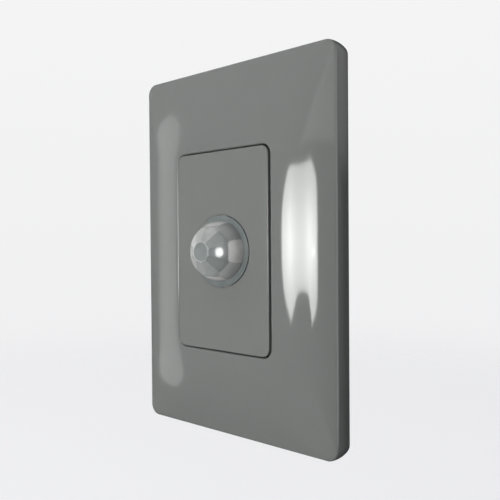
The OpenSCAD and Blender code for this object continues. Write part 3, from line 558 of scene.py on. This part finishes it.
def foot_height(along):
    stair = dome_sum("MULTIPLY", foot_step(along, 1.0), dome_sum("MULTIPLY", asked["Foot drop"], -1.0))
    return choose(dome_sum("GREATER_THAN", along, AT_LAST), stair, asked["Flange top"])


def bore_radius(along):
    return inner_radius


def turned_over(sheet):
    return dome_node("GeometryNodeFlipFaces", {"Mesh": sheet})


def bore_height(along):
    return choose(dome_sum("LESS_THAN", along, MIDDLE), asked["Flange foot"], 0.0)


# the stepped foot is painted the full shaded teal, a painted shadow for the recess round the dome
foot = noted(turned_sheet(FOOT_ROWS, foot_radius, foot_height), "facet_tint", FOOT_PAINTED_SHADE)
flange = turned_sheet(FLANGE_ROWS, flange_radius, flange_height)
bore = turned_over(turned_sheet(BORE_ROWS, bore_radius, bore_height))
inside = turned_over(turned_sheet(DOWN_INSIDE, ball(inner_radius, "SINE"), ball(inner_radius, "COSINE")))
# a sheet rolled from the tip down faces the axis, so the whole is turned right side out
whole = turned_over(welded(dome_tree, (faceted, foot, flange, bore, inside), 2e-6))
# the dome's axis points out of the plate, -Y
stood = dome_node("GeometryNodeTransform", {
    "Geometry": whole, "Rotation": (math.pi / 2, 0.0, 0.0), "Translation": asked["Centre"]})
put_out(dome_tree, stood, asked["Finish"])

# the lens's lit grey and shaded teal; the facets blend between them as painted light and shade
LIT_FACET_GREY, SHADED_FACET_TEAL, SEAM = (0.63, 0.625, 0.62, 1.0), (0.115, 0.143, 0.146, 1.0), (0.3, 0.31, 0.3, 1.0)
STRIP_DULL = 0.3
milky, tree, shader = blank_material("milky_lens")
spot = own_place(tree)
tint, edge, gap = [
    put(tree, "ShaderNodeAttribute", attribute_name=name).outputs["Fac"]
    for name in ("facet_tint", "facet_edge", "facet_gap")
]
cloud = noise(tree, spot, scale=260.0, detail=3.0)
drift = ranged(tree, cloud, span=(0.3, 0.7), to=(0.9, 1.08))
seam = ranged(tree, edge, span=(0.0, 0.012), to=(0.35, 0.0))
lined = blend(tree, seam, blend(tree, tint, LIT_FACET_GREY, SHADED_FACET_TEAL), SEAM)
smear = ranged(tree, cloud, span=(0.0, 1.0), to=(0.03, 0.09))
groove = put(tree, "ShaderNodeTexWave", {"Vector": spot, "Scale": 250.0}, bands_direction="Y")
ripple = first(tree, "ShaderNodeBump", {"Height": groove.outputs["Fac"], "Distance": 1e-6})
fill(tree, shader, {
    "Base Color": scaled(tree, lined, drift), "Normal": ripple, "Transmission Weight": 0.15, "IOR": 1.49,
    "Roughness": sums(tree, "MULTIPLY_ADD", gap, STRIP_DULL, smear),
})

low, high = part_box("lens_dome")
dome_radius, facet_depth, flange_thick = 0.0095, 0.0004, 0.001
dome_centre = low.y + dome_radius - facet_depth
lens = grown("lens", dome_tree, {
    "Centre": (-0.0002, dome_centre, 0.0), "Dome radius": dome_radius, "Wall": 0.0011,
    "Facet depth": facet_depth, "Foot facet depth": 0.0, "Inner facets": 10, "Inner tilt": math.radians(36),
    "Outer facets": 8, "Outer tilt": math.radians(68), "Foot radius": 0.01138, "Foot drop": 0.00008,
    "Foot steps": 5, "Flange radius": high.x, "Flange top": dome_centre - high.y + flange_thick,
    "Flange foot": dome_centre - high.y, "Finish": milky,
}, sharp=40)
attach(lens, "switch")
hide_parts("lens_dome")

# Sensor cover: the flat glossy insert, a little proud of the plate, with a rolled front edge and
# the hole that the dome comes through. Its skirt snaps over the deck.


def ring(half_width, half_height, corner, depth, steps, sides=(10, 6)):
    """Points of a rounded rectangle at a depth in front of the wall, the same count for each."""
    points = []
    for quarter in range(4):
        sx = 1 if quarter in (0, 3) else -1
        sz = 1 if quarter < 2 else -1
        for i in range(steps + 1):
            angle = math.pi / 2 * (quarter + i / steps)
            points.append(Vector((
                sx * (half_width - corner) + corner * math.cos(angle), -depth,
                sz * (half_height - corner) + corner * math.sin(angle),
            )))
    whole = []
    for quarter in range(4):
        arc = points[quarter * (steps + 1):(quarter + 1) * (steps + 1)]
        after = points[(quarter + 1) % 4 * (steps + 1)]
        count = sides[1] if quarter in (0, 2) else sides[0]
        whole += arc + [arc[-1].lerp(after, k / count) for k in range(1, count)]
    return whole


def lofted(name, rings):
    """A closed skin through rings of equal count, the last joined to the first."""
    mesh = bpy.data.meshes.new(name)
    per, count = len(rings[0]), len(rings)
    faces = []
    for k in range(count):
        this, after = k * per, (k + 1) % count * per
        faces += [(this + i, this + (i + 1) % per, after + (i + 1) % per, after + i) for i in range(per)]
    mesh.from_pydata([p for r in rings for p in r], [], faces)
    shape = bmesh.new()
    shape.from_mesh(mesh)
    bmesh.ops.recalc_face_normals(shape, faces=shape.faces)
    shape.to_mesh(mesh)
    shape.free()
    return placed_piece(name, mesh)


low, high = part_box("sensor_cover")
cover_x, cover_z, cover_corner = high.x, high.z, 0.0026
face, skirt = -low.y, -high.y
front_thick, skirt_thick, roll, foot_chamfer = 0.0018, 0.0015, 0.0002, 0.0001
hole, hole_roll, hole_dip = 0.0115, 0.001, 0.00025
COVER_CORNER, ROLL_STEPS, HOLE_STEPS, SHARPEST = 20, 8, 10, 0.0003


def cover_ring(inset, depth):
    corner = max(cover_corner - inset, SHARPEST)
    return ring(cover_x - inset, cover_z - inset, corner, depth, COVER_CORNER)


def hole_ring(radius, depth):
    """Points round the hole, each in line with one of the outline's."""
    off = Vector((0, -depth, 0))
    return [Vector((p.x, 0, p.z)).normalized() * radius + off for p in cover_ring(0.0, depth)]


rings = [cover_ring(foot_chamfer, skirt), cover_ring(0.0, skirt + foot_chamfer)]
for i in range(ROLL_STEPS + 1):
    angle = math.pi / 2 * i / ROLL_STEPS
    rings.append(cover_ring(roll * (1 - math.cos(angle)), face - roll * (1 - math.sin(angle))))
# the flat has rings close to its two edges, which keep the shading of the rolls off it
flat_edge = cover_ring(roll, face)
flat_hole = hole_ring(hole + hole_roll, face)
for share in (0.02, 0.3, 0.6, 0.9, 0.98):
    rings.append([a.lerp(b, share) for a, b in zip(flat_edge, flat_hole)])
for i in range(HOLE_STEPS + 1):
    angle = math.pi / 2 * i / HOLE_STEPS
    dip = hole_dip * (1 - math.cos(angle))
    rings.append(hole_ring(hole + hole_roll * (1 - math.sin(angle)), face - dip))
rings.append(hole_ring(hole, face - front_thick))
rings.append(cover_ring(skirt_thick, face - front_thick))
rings.append(cover_ring(skirt_thick, skirt))
insert = lofted("insert", rings)
smoothed(insert.data, sharp=35)
gloss = dict(drift=0.05, cloud=90.0, unevenness=0.03, grain=420.0, depth=1.5e-6, ease=0.0)
insert.data.materials.append(moulded("gloss_insert", (0.162, 0.167, 0.162), 0.12, **gloss))
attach(insert, "switch")
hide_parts("sensor_cover")

# Cover plate: the glossy grey moulding that hides the frame. Its front is crowned from a thin
# side up to the insert, its opening has a lip, and four hooks inside snap under the catches.
low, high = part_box("cover_plate")
plate_x, plate_z, plate_corner = high.x, high.z, 0.004
side_height, crown_height, plate_wall = 0.0072, 0.0044, 0.0022
crown_top = side_height + crown_height
side_swell, edge_round, edge_end = 0.0003, 0.001, math.radians(65)
bulge, clearance = 0.012, 0.0005
open_x, open_z, open_corner = cover_x + clearance, cover_z + clearance, cover_corner + clearance
lip_depth, lip_thick, lip_roll = 0.0045, 0.0016, 0.0005
PLATE_CORNER, SIDE_STEPS, EDGE_STEPS, CROWN_STEPS, LIP_STEPS, INNER_STEPS = 28, 12, 8, 44, 5, 16


def plate_ring(half_x, half_z, corner, depth):
    return ring(half_x, half_z, corner, depth, PLATE_CORNER, sides=(16, 10))


def side_ring(inset, depth):
    return plate_ring(plate_x - inset, plate_z - inset, plate_corner - inset, depth)


def crown_depth(share):
    """How far the crown stands off the wall, from its edge, 0, to the opening, 1."""
    return side_height + crown_height * (1 - (1 - share) ** 2)


def crown_ring(start, end, drop, share):
    """One ring of the crown: its outline runs from the side's to the opening's, rounder between."""
    (x0, z0, r0), (x1, z1, r1) = start, end
    corner = r0 + (r1 - r0) * share + bulge * 4 * share * (1 - share)
    return plate_ring(x0 + (x1 - x0) * share, z0 + (z1 - z0) * share, corner, crown_depth(share) - drop)


lean_angle = math.atan(4 * side_swell / side_height)
side_top = side_height - edge_round * (math.sin(edge_end) - math.sin(lean_angle))
rings = []
for i in range(SIDE_STEPS + 1):
    rings.append(side_ring(side_swell * (2 * i / SIDE_STEPS - 1) ** 2, side_top * i / SIDE_STEPS))
for i in range(1, EDGE_STEPS + 1):
    angle = lean_angle + (edge_end - lean_angle) * i / EDGE_STEPS
    inset = side_swell + edge_round * (math.cos(lean_angle) - math.cos(angle))
    rings.append(side_ring(inset, side_height - edge_round * (math.sin(edge_end) - math.sin(angle))))
outer = (plate_x - inset, plate_z - inset, plate_corner - inset)
opening = (open_x + lip_roll, open_z + lip_roll, open_corner + lip_roll)
rings += [crown_ring(outer, opening, 0.0, i / CROWN_STEPS) for i in range(1, CROWN_STEPS + 1)]
for i in range(1, LIP_STEPS + 1):
    angle = math.pi / 2 * i / LIP_STEPS
    spread = lip_roll * (1 - math.sin(angle))
    depth = crown_top - lip_roll * (1 - math.cos(angle))
    rings.append(plate_ring(open_x + spread, open_z + spread, open_corner + spread, depth))
rings.append(plate_ring(open_x, open_z, open_corner, face - lip_depth))
lip = (open_x + lip_thick, open_z + lip_thick, open_corner + lip_thick)
rings.append(plate_ring(*lip, face - lip_depth))
inner = (plate_x - plate_wall, plate_z - plate_wall, plate_corner - plate_wall)
rings += [crown_ring(inner, lip, plate_wall, 1 - i / INNER_STEPS) for i in range(INNER_STEPS + 1)]
rings.append(plate_ring(*inner, 0.0))
plate = lofted("plate", rings)
# a screwdriver prises the plate off at a notch in the middle of its lower side
notch_x, notch_high, notch_deep = 0.005, 0.0014, plate_wall + 0.001
cutter = placed_piece("notch_cutter", bpy.data.meshes.new("notch_cutter"))
shape = bmesh.new()
bmesh.ops.create_cube(shape, size=1.0)
for corner in shape.verts:
    x, y, z = corner.co
    corner.co = Vector((2 * notch_x * x, 2 * notch_high * y, 2 * notch_deep * z - plate_z))
shape.to_mesh(cutter.data)
shape.free()
cut = plate.modifiers.new("prise_notch", "BOOLEAN")
cut.operation, cut.solver, cut.object = "DIFFERENCE", "EXACT", cutter
notched = bpy.data.meshes.new_from_object(plate.evaluated_get(bpy.context.evaluated_depsgraph_get()))
plate.modifiers.remove(cut)
bpy.data.objects.remove(cutter)
plate.data = notched
notched.name = "plate"
# hooks and ribs hang from the middle of the crown's wall
hook_x, hook_top, hook_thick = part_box("support_frame")[1].x - 0.0061, 0.0048, 0.0014
barb, barb_face, hook_drop = 0.0007, 0.0004, 0.002
hook_level, hook_wide, rib_wide = 0.037, 0.007, 0.001


def wall_middle(x):
    return crown_depth((outer[0] - x) / (outer[0] - opening[0])) - plate_wall / 2


hook = [
    (hook_x, wall_middle(hook_x)), (hook_x, hook_top), (hook_x - barb, hook_top),
    (hook_x - barb, hook_top - barb_face), (hook_x + barb_face, hook_top - hook_drop),
    (hook_x + hook_thick, hook_top - hook_drop), (hook_x + hook_thick, wall_middle(hook_x + hook_thick)),
]
rib_from, rib_to, rib_foot = open_x + 0.75 * lip_thick, plate_x - plate_wall / 2, 0.004
RIB_STEPS = 6
rib_steps = [rib_from + (plate_x - plate_wall - rib_from) * i / RIB_STEPS for i in range(RIB_STEPS + 1)]
rib = [(rib_from, rib_foot)] + [(x, wall_middle(x)) for x in rib_steps] + [(rib_to, rib_foot)]


def raised_bar(shape, profile, side, low_end, high_end):
    """Adds a closed bar with this profile, given as points across and off the wall."""
    ends = [[shape.verts.new((side * x, -depth, z)) for x, depth in profile] for z in (low_end, high_end)]
    walls = [shape.faces.new(ends[0]), shape.faces.new(list(reversed(ends[1])))]
    for i in range(len(profile)):
        k = (i + 1) % len(profile)
        walls.append(shape.faces.new((ends[0][k], ends[0][i], ends[1][i], ends[1][k])))
    bmesh.ops.recalc_face_normals(shape, faces=walls)


shape = bmesh.new()
shape.from_mesh(plate.data)
for profile, middle, thick in ((hook, hook_level, hook_wide), (rib, hook_level / 3, rib_wide)):
    for side in (-1, 1):
        for level in (-middle, middle):
            raised_bar(shape, profile, side, level - thick / 2, level + thick / 2)
shape.to_mesh(plate.data)
shape.free()
smoothed(plate.data, sharp=40)
plate.data.materials.append(moulded("gloss_plate", (0.158, 0.164, 0.161), 0.06, **gloss))
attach(plate, "switch")
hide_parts("cover_plate")

# Studio: a pale floor below the plate that fades into the pale backdrop, and a room that is
# brighter above than below and dim behind, apart from a lit patch high up on the right.


def stage_material(name):
    material = bpy.data.materials.new(name)
    material.use_nodes = True
    material.node_tree.nodes.clear()
    return material, material.node_tree


def stage_mesh(name, points, material):
    mesh = bpy.data.meshes.new(name)
    mesh.from_pydata(points, [], [tuple(range(len(points)))])
    mesh.materials.append(material)
    piece = placed_piece(name, mesh)
    return piece


BACKDROP_HIGH, BACKDROP_LOW = (0.905, 0.905, 0.905, 1.0), (0.855, 0.855, 0.871, 1.0)
BEHIND, FRONT_LEFT = (0.087, 0.996, 0.0), (-0.616, -0.788, 0.0)
AMBIENT = 0.42
room = bpy.data.worlds.new("room")
scene.world = room
room.use_nodes = True
tree = room.node_tree
tree.nodes.clear()
way = put(tree, "ShaderNodeTexCoord").outputs["Generated"]
up = split(tree, way)["Z"]
backdrop = blend(tree, ranged(tree, up, span=(-0.42, 0.38)), BACKDROP_LOW, BACKDROP_HIGH)
from_above = ranged(tree, up, span=(-0.7, 0.7), to=(0.2, 1.0), smooth=True)
flat_way = first(tree, "ShaderNodeVectorMath", {0: way, 1: (1.0, 1.0, 0.0)}, operation="MULTIPLY")
level = first(tree, "ShaderNodeVectorMath", {0: flat_way}, operation="NORMALIZE")
corner_dim = ranged(tree, dot(tree, level, BEHIND), span=(0.66, 0.92), to=(1.0, 0.1))
lit_right = ranged(tree, split(tree, level)["X"], span=(0.05, 0.65), to=(0.0, 1.2))
lit_above = ranged(tree, up, span=(0.06, 0.2), smooth=True)
lit_patch = sums(tree, "MULTIPLY", lit_right, lit_above)
falloff = sums(tree, "MULTIPLY", from_above, sums(tree, "MAXIMUM", corner_dim, lit_patch))
dim = scaled(tree, backdrop, falloff)
# what the gloss mirrors is brightest in front on the left, and behind
bright_front = ranged(tree, dot(tree, way, FRONT_LEFT), span=(0.6, 0.9), to=(0.3, 0.4))
bright_behind = ranged(tree, split(tree, way)["Y"], span=(0.1, 0.4))
gloss_room = scaled(tree, dim, sums(tree, "MAXIMUM", bright_front, bright_behind))
path = put(tree, "ShaderNodeLightPath").outputs
mirrored = blend(tree, path["Is Glossy Ray"], scaled(tree, dim, AMBIENT), gloss_room)
straight = sums(tree, "MAXIMUM", path["Is Camera Ray"], path["Is Transmission Ray"])
seen = blend(tree, straight, mirrored, backdrop)
backlight = first(tree, "ShaderNodeBackground", {"Color": seen, "Strength": 1.0})
put(tree, "ShaderNodeOutputWorld", {0: backlight})

FLOOR, FLOOR_RADIUS, FLOOR_SIDES = -0.16, 1.05, 64
floor_look, tree = stage_material("pale_floor")
spot = own_place(tree)
away = put(tree, "ShaderNodeVectorMath", {0: spot}, operation="LENGTH").outputs["Value"]
fade = ranged(tree, away, span=(0.35, 1.0), smooth=True)
glow = first(tree, "ShaderNodeEmission", {"Color": BACKDROP_LOW, "Strength": 0.82})
matt = first(tree, "ShaderNodeBsdfDiffuse", {"Color": (0.25, 0.25, 0.255, 1.0)})
lit = first(tree, "ShaderNodeAddShader", {0: glow, 1: matt})
path = put(tree, "ShaderNodeLightPath").outputs
straight = sums(tree, "MAXIMUM", path["Is Camera Ray"], path["Is Transmission Ray"])
straight = sums(tree, "MAXIMUM", straight, path["Is Glossy Ray"])
bounce = first(tree, "ShaderNodeBsdfDiffuse", {"Color": (0.6, 0.6, 0.6, 1.0)})
surface = first(tree, "ShaderNodeMixShader", {0: straight, 1: bounce, 2: lit})
clear = first(tree, "ShaderNodeBsdfTransparent")
faded = first(tree, "ShaderNodeMixShader", {0: fade, 1: surface, 2: clear})
put(tree, "ShaderNodeOutputMaterial", {0: faded})
floor_angles = [2 * math.pi * k / FLOOR_SIDES for k in range(FLOOR_SIDES)]
floor = stage_mesh("floor", [
    (FLOOR_RADIUS * math.cos(angle), FLOOR_RADIUS * math.sin(angle), FLOOR) for angle in floor_angles
], floor_look)
floor.visible_glossy = False

# Lights: a wide softbox in front with two tubes behind its cloth and a stand that shades the
# middle of its lower edge, a tall panel on the left, three pale walls that only the gloss shows,
# a small round lamp for the dome's highlight, a soft lamp overhead and a narrow one behind.


def shining(tree, strength, colour=WHITE):
    """Lets a stage material give off light."""
    shine = first(tree, "ShaderNodeEmission", {"Color": colour, "Strength": strength})
    put(tree, "ShaderNodeOutputMaterial", {0: shine})


SOFT_Y, SOFT_Z, SOFT_TALL, SOFT_COLOUR = -0.9, 0.0, 0.159, (0.99, 1.0, 0.975, 1.0)
SOFT_LEFT, LEFT_BOW, LEFT_POWER, LEFT_FEATHER = -0.412, 0.17, 3.1, 0.05
SOFT_RIGHT, RIGHT_BOW, RIGHT_POWER, RIGHT_FEATHER = 0.174, 0.085, 7.5, 0.03
LEFT_TUBE, RIGHT_TUBE, TUBE_TALL = (-0.235, 0.07), (0.06, 0.055), 0.1
TUBE_GLOW, CORE_GLOW, CLOTH_GLOW = 5.0, 6.0, 9.0
softbox_look, tree = stage_material("softbox_cloth")
spot = split(tree, own_place(tree))
soft_sum = partial(sums, tree)
rise = soft_sum("ABSOLUTE", soft_sum("DIVIDE", soft_sum("SUBTRACT", spot["Z"], SOFT_Z), SOFT_TALL))
left_edge = soft_sum("MULTIPLY_ADD", soft_sum("POWER", rise, LEFT_POWER), LEFT_BOW, SOFT_LEFT)
right_edge = soft_sum("MULTIPLY_ADD", soft_sum("POWER", rise, RIGHT_POWER), -RIGHT_BOW, SOFT_RIGHT)
in_from_left = soft_sum("SUBTRACT", spot["X"], left_edge)
in_from_right = soft_sum("SUBTRACT", right_edge, spot["X"])
feather = soft_sum(
    "MULTIPLY", ranged(tree, in_from_left, span=(0.0, LEFT_FEATHER), smooth=True),
    ranged(tree, in_from_right, span=(0.0, RIGHT_FEATHER), smooth=True))


def hump(value, centre, width):
    """A soft bump of height 1 round a centre."""
    off = soft_sum("DIVIDE", soft_sum("SUBTRACT", value, centre), width)
    return soft_sum("POWER", math.e, soft_sum("MULTIPLY", soft_sum("MULTIPLY", off, off), -1.0))


tubes = soft_sum("ADD", hump(spot["X"], *LEFT_TUBE), hump(spot["X"], *RIGHT_TUBE))
core = soft_sum("MULTIPLY_ADD", tubes, TUBE_GLOW, CORE_GLOW)
strength = soft_sum("MULTIPLY_ADD", core, hump(spot["Z"], SOFT_Z, TUBE_TALL), CLOTH_GLOW)
shining(tree, soft_sum("MULTIPLY", strength, feather), SOFT_COLOUR)
# its outline: the right bow from below, the sagging upper edge, the left bow back, the stand
BOW_STEPS, OVERRUN, LEFT_TOP = 20, 1.015, 0.98
rows = [OVERRUN * k / BOW_STEPS for k in range(-BOW_STEPS, BOW_STEPS + 1)]
outline = [(SOFT_RIGHT - RIGHT_BOW * abs(v) ** RIGHT_POWER, SOFT_Z + SOFT_TALL * v) for v in rows]
outline += [(0.03, 0.155), (-0.03, 0.151), (-0.09, 0.15), (-0.17, 0.152)]
for v in reversed(rows):
    if v < LEFT_TOP:
        outline.append((SOFT_LEFT + LEFT_BOW * abs(v) ** LEFT_POWER, SOFT_Z + SOFT_TALL * v))
outline += [(-0.158, -0.122), (-0.13, -0.103), (-0.09, -0.095), (-0.03, -0.092), (0.02, -0.095)]
outline += [(0.046, -0.104), (0.068, -0.132)]
softbox = stage_mesh("softbox", [(x, SOFT_Y, z) for x, z in outline], softbox_look)

PANEL_AWAY, PANEL_TURN, PANEL_FROM = 0.8, math.radians(-66), Vector((-0.026, -0.01, 0.0))
panel_ahead = Vector((math.sin(PANEL_TURN), -math.cos(PANEL_TURN), 0.0))
panel_across = Vector((math.cos(PANEL_TURN), math.sin(PANEL_TURN), 0.0))
panel_look, tree = stage_material("panel_cloth")
spot = own_place(tree)
shining(tree, ranged(tree, dot(tree, spot, panel_across), span=(-0.2, 0.0), to=(0.55, 1.45)))
# its edges in degrees across and up, as seen from the plate's left side: towards its ends the left
# one slants in, and the right one steps in, slants and then rounds off
PANEL_LEFT, PANEL_RIGHT, PANEL_LOW, PANEL_HIGH, PANEL_STEPS = -14.0, 17.6, -24.1, 21.8, 40
LEFT_SLANT, LEFT_SLANT_FROM = 1.52, 7.4
RIGHT_STEP, RIGHT_STEP_FROM, RIGHT_STEP_OVER = 3.0, 7.5, 3.0
RIGHT_SLANT, RIGHT_SLANT_FROM = 0.25, 11.0
END_ROUND, END_ROUND_FROM, END_ROUND_OVER = 3.2, 19.0, 2.8
STRETCH, MOST_STRETCH = 0.0035, 0.048
panel_left, panel_right = [], []
for k in range(PANEL_STEPS + 1):
    rise = PANEL_LOW + (PANEL_HIGH - PANEL_LOW) * k / PANEL_STEPS
    tall = max(rise, PANEL_HIGH + PANEL_LOW - rise)
    step = min(max((tall - RIGHT_STEP_FROM) / RIGHT_STEP_OVER, 0.0), 1.0)
    left = PANEL_LEFT + LEFT_SLANT * max(tall - LEFT_SLANT_FROM, 0.0)
    right = PANEL_RIGHT - RIGHT_STEP * step ** 2 * (3 - 2 * step)
    right -= RIGHT_SLANT * max(tall - RIGHT_SLANT_FROM, 0.0)
    right -= END_ROUND * (max(tall - END_ROUND_FROM, 0.0) / END_ROUND_OVER) ** 2
    stretch = max(min(STRETCH * rise, MOST_STRETCH), -MOST_STRETCH)
    for edge, aside in ((panel_left, left), (panel_right, right)):
        away = PANEL_AWAY / math.cos(math.radians(aside))
        point = PANEL_FROM + panel_ahead * PANEL_AWAY
        point += panel_across * PANEL_AWAY * math.tan(math.radians(aside))
        edge.append(point + Vector((0, 0, away * math.tan(math.radians(rise)) + stretch)))
panel = stage_mesh("left_panel", panel_right + panel_left[::-1], panel_look)


def upright(name, start, end, low, high, material):
    """A wall between two places on the floor plan."""
    return stage_mesh(name, [(*start, low), (*end, low), (*end, high), (*start, high)], material)


graded_look, tree = stage_material("graded_wall")
spot = split(tree, own_place(tree))
strength = ranged(tree, spot["Z"], span=(-0.2, 0.15), to=(0.7, 1.3))
shining(tree, sums(tree, "MULTIPLY", strength, ranged(tree, spot["X"], span=(0.46, 0.64), smooth=True)))
wall_look, tree = stage_material("pale_wall")
shining(tree, 1.1)
bright_look, tree = stage_material("bright_wall")
shining(tree, 2.1)
right_wall = upright("right_wall", (0.46, -0.55), (0.7, -0.16), -0.25, 0.3, graded_look)
upper_wall = upright("upper_wall", (-0.1, -0.95), (0.55, -0.85), 0.2, 0.7, wall_look)
side_wall = upright("side_wall", (0.65, -0.3), (0.65, 0.45), -0.3, 0.4, bright_look)

SPOT_AT, SPOT_TURN, SPOT_SIDES = Vector((0.0385, -0.075, -0.0014)), math.radians(31), 32
SPOT_WIDE, SPOT_TALL = 0.0017, 0.0019
spot_look, tree = stage_material("lamp_glass")
shining(tree, 24.0)
spot_across = Vector((math.cos(SPOT_TURN), math.sin(SPOT_TURN), 0.0))
spot_points = []
for k in range(SPOT_SIDES):
    angle = 2 * math.pi * k / SPOT_SIDES
    aside = spot_across * SPOT_WIDE * math.cos(angle)
    spot_points.append(SPOT_AT + aside + Vector((0, 0, SPOT_TALL * math.sin(angle))))
spot_lamp = stage_mesh("spot_lamp", spot_points, spot_look)
for light in (softbox, panel, right_wall, upper_wall, side_wall, spot_lamp):
    light.visible_camera = False
for wall in (right_wall, upper_wall, side_wall):
    wall.visible_diffuse = False


def lamp(name, kind, place, target, **settings):
    data = bpy.data.lights.new(name, kind)
    for key, value in settings.items():
        setattr(data, key, value)
    piece = placed_piece(name, data)
    piece.location = place
    piece.rotation_euler = (Vector(target) - piece.location).to_track_quat("-Z", "Y").to_euler()
    return piece


overhead = lamp("overhead", "AREA", (-0.3, -0.5, 0.78), (0, 0, 0), shape="DISK", size=0.7, energy=3.0)
overhead.visible_glossy = False
lamp("back_fill", "SPOT", (-0.05, 0.85, 0.4), (0, 0.02, 0),
     spot_size=math.radians(9), spot_blend=0.6, shadow_soft_size=0.04, energy=16.0)

# Camera: from the front right, level with the dome. Its place, turn and lens were fitted to the
# outlines of the plate, the insert and the dome in the photograph.
lens_data = bpy.data.cameras.new("camera")
lens_data.sensor_width, lens_data.lens = 36.0, 39.287
lens_data.clip_start = 0.005
camera = placed_piece("camera", lens_data)
camera.location = (0.11443, -0.14221, 0.003)
camera.rotation_euler = [math.radians(turn) for turn in (89.104, 0.4378, 38.2248)]
scene.camera = camera
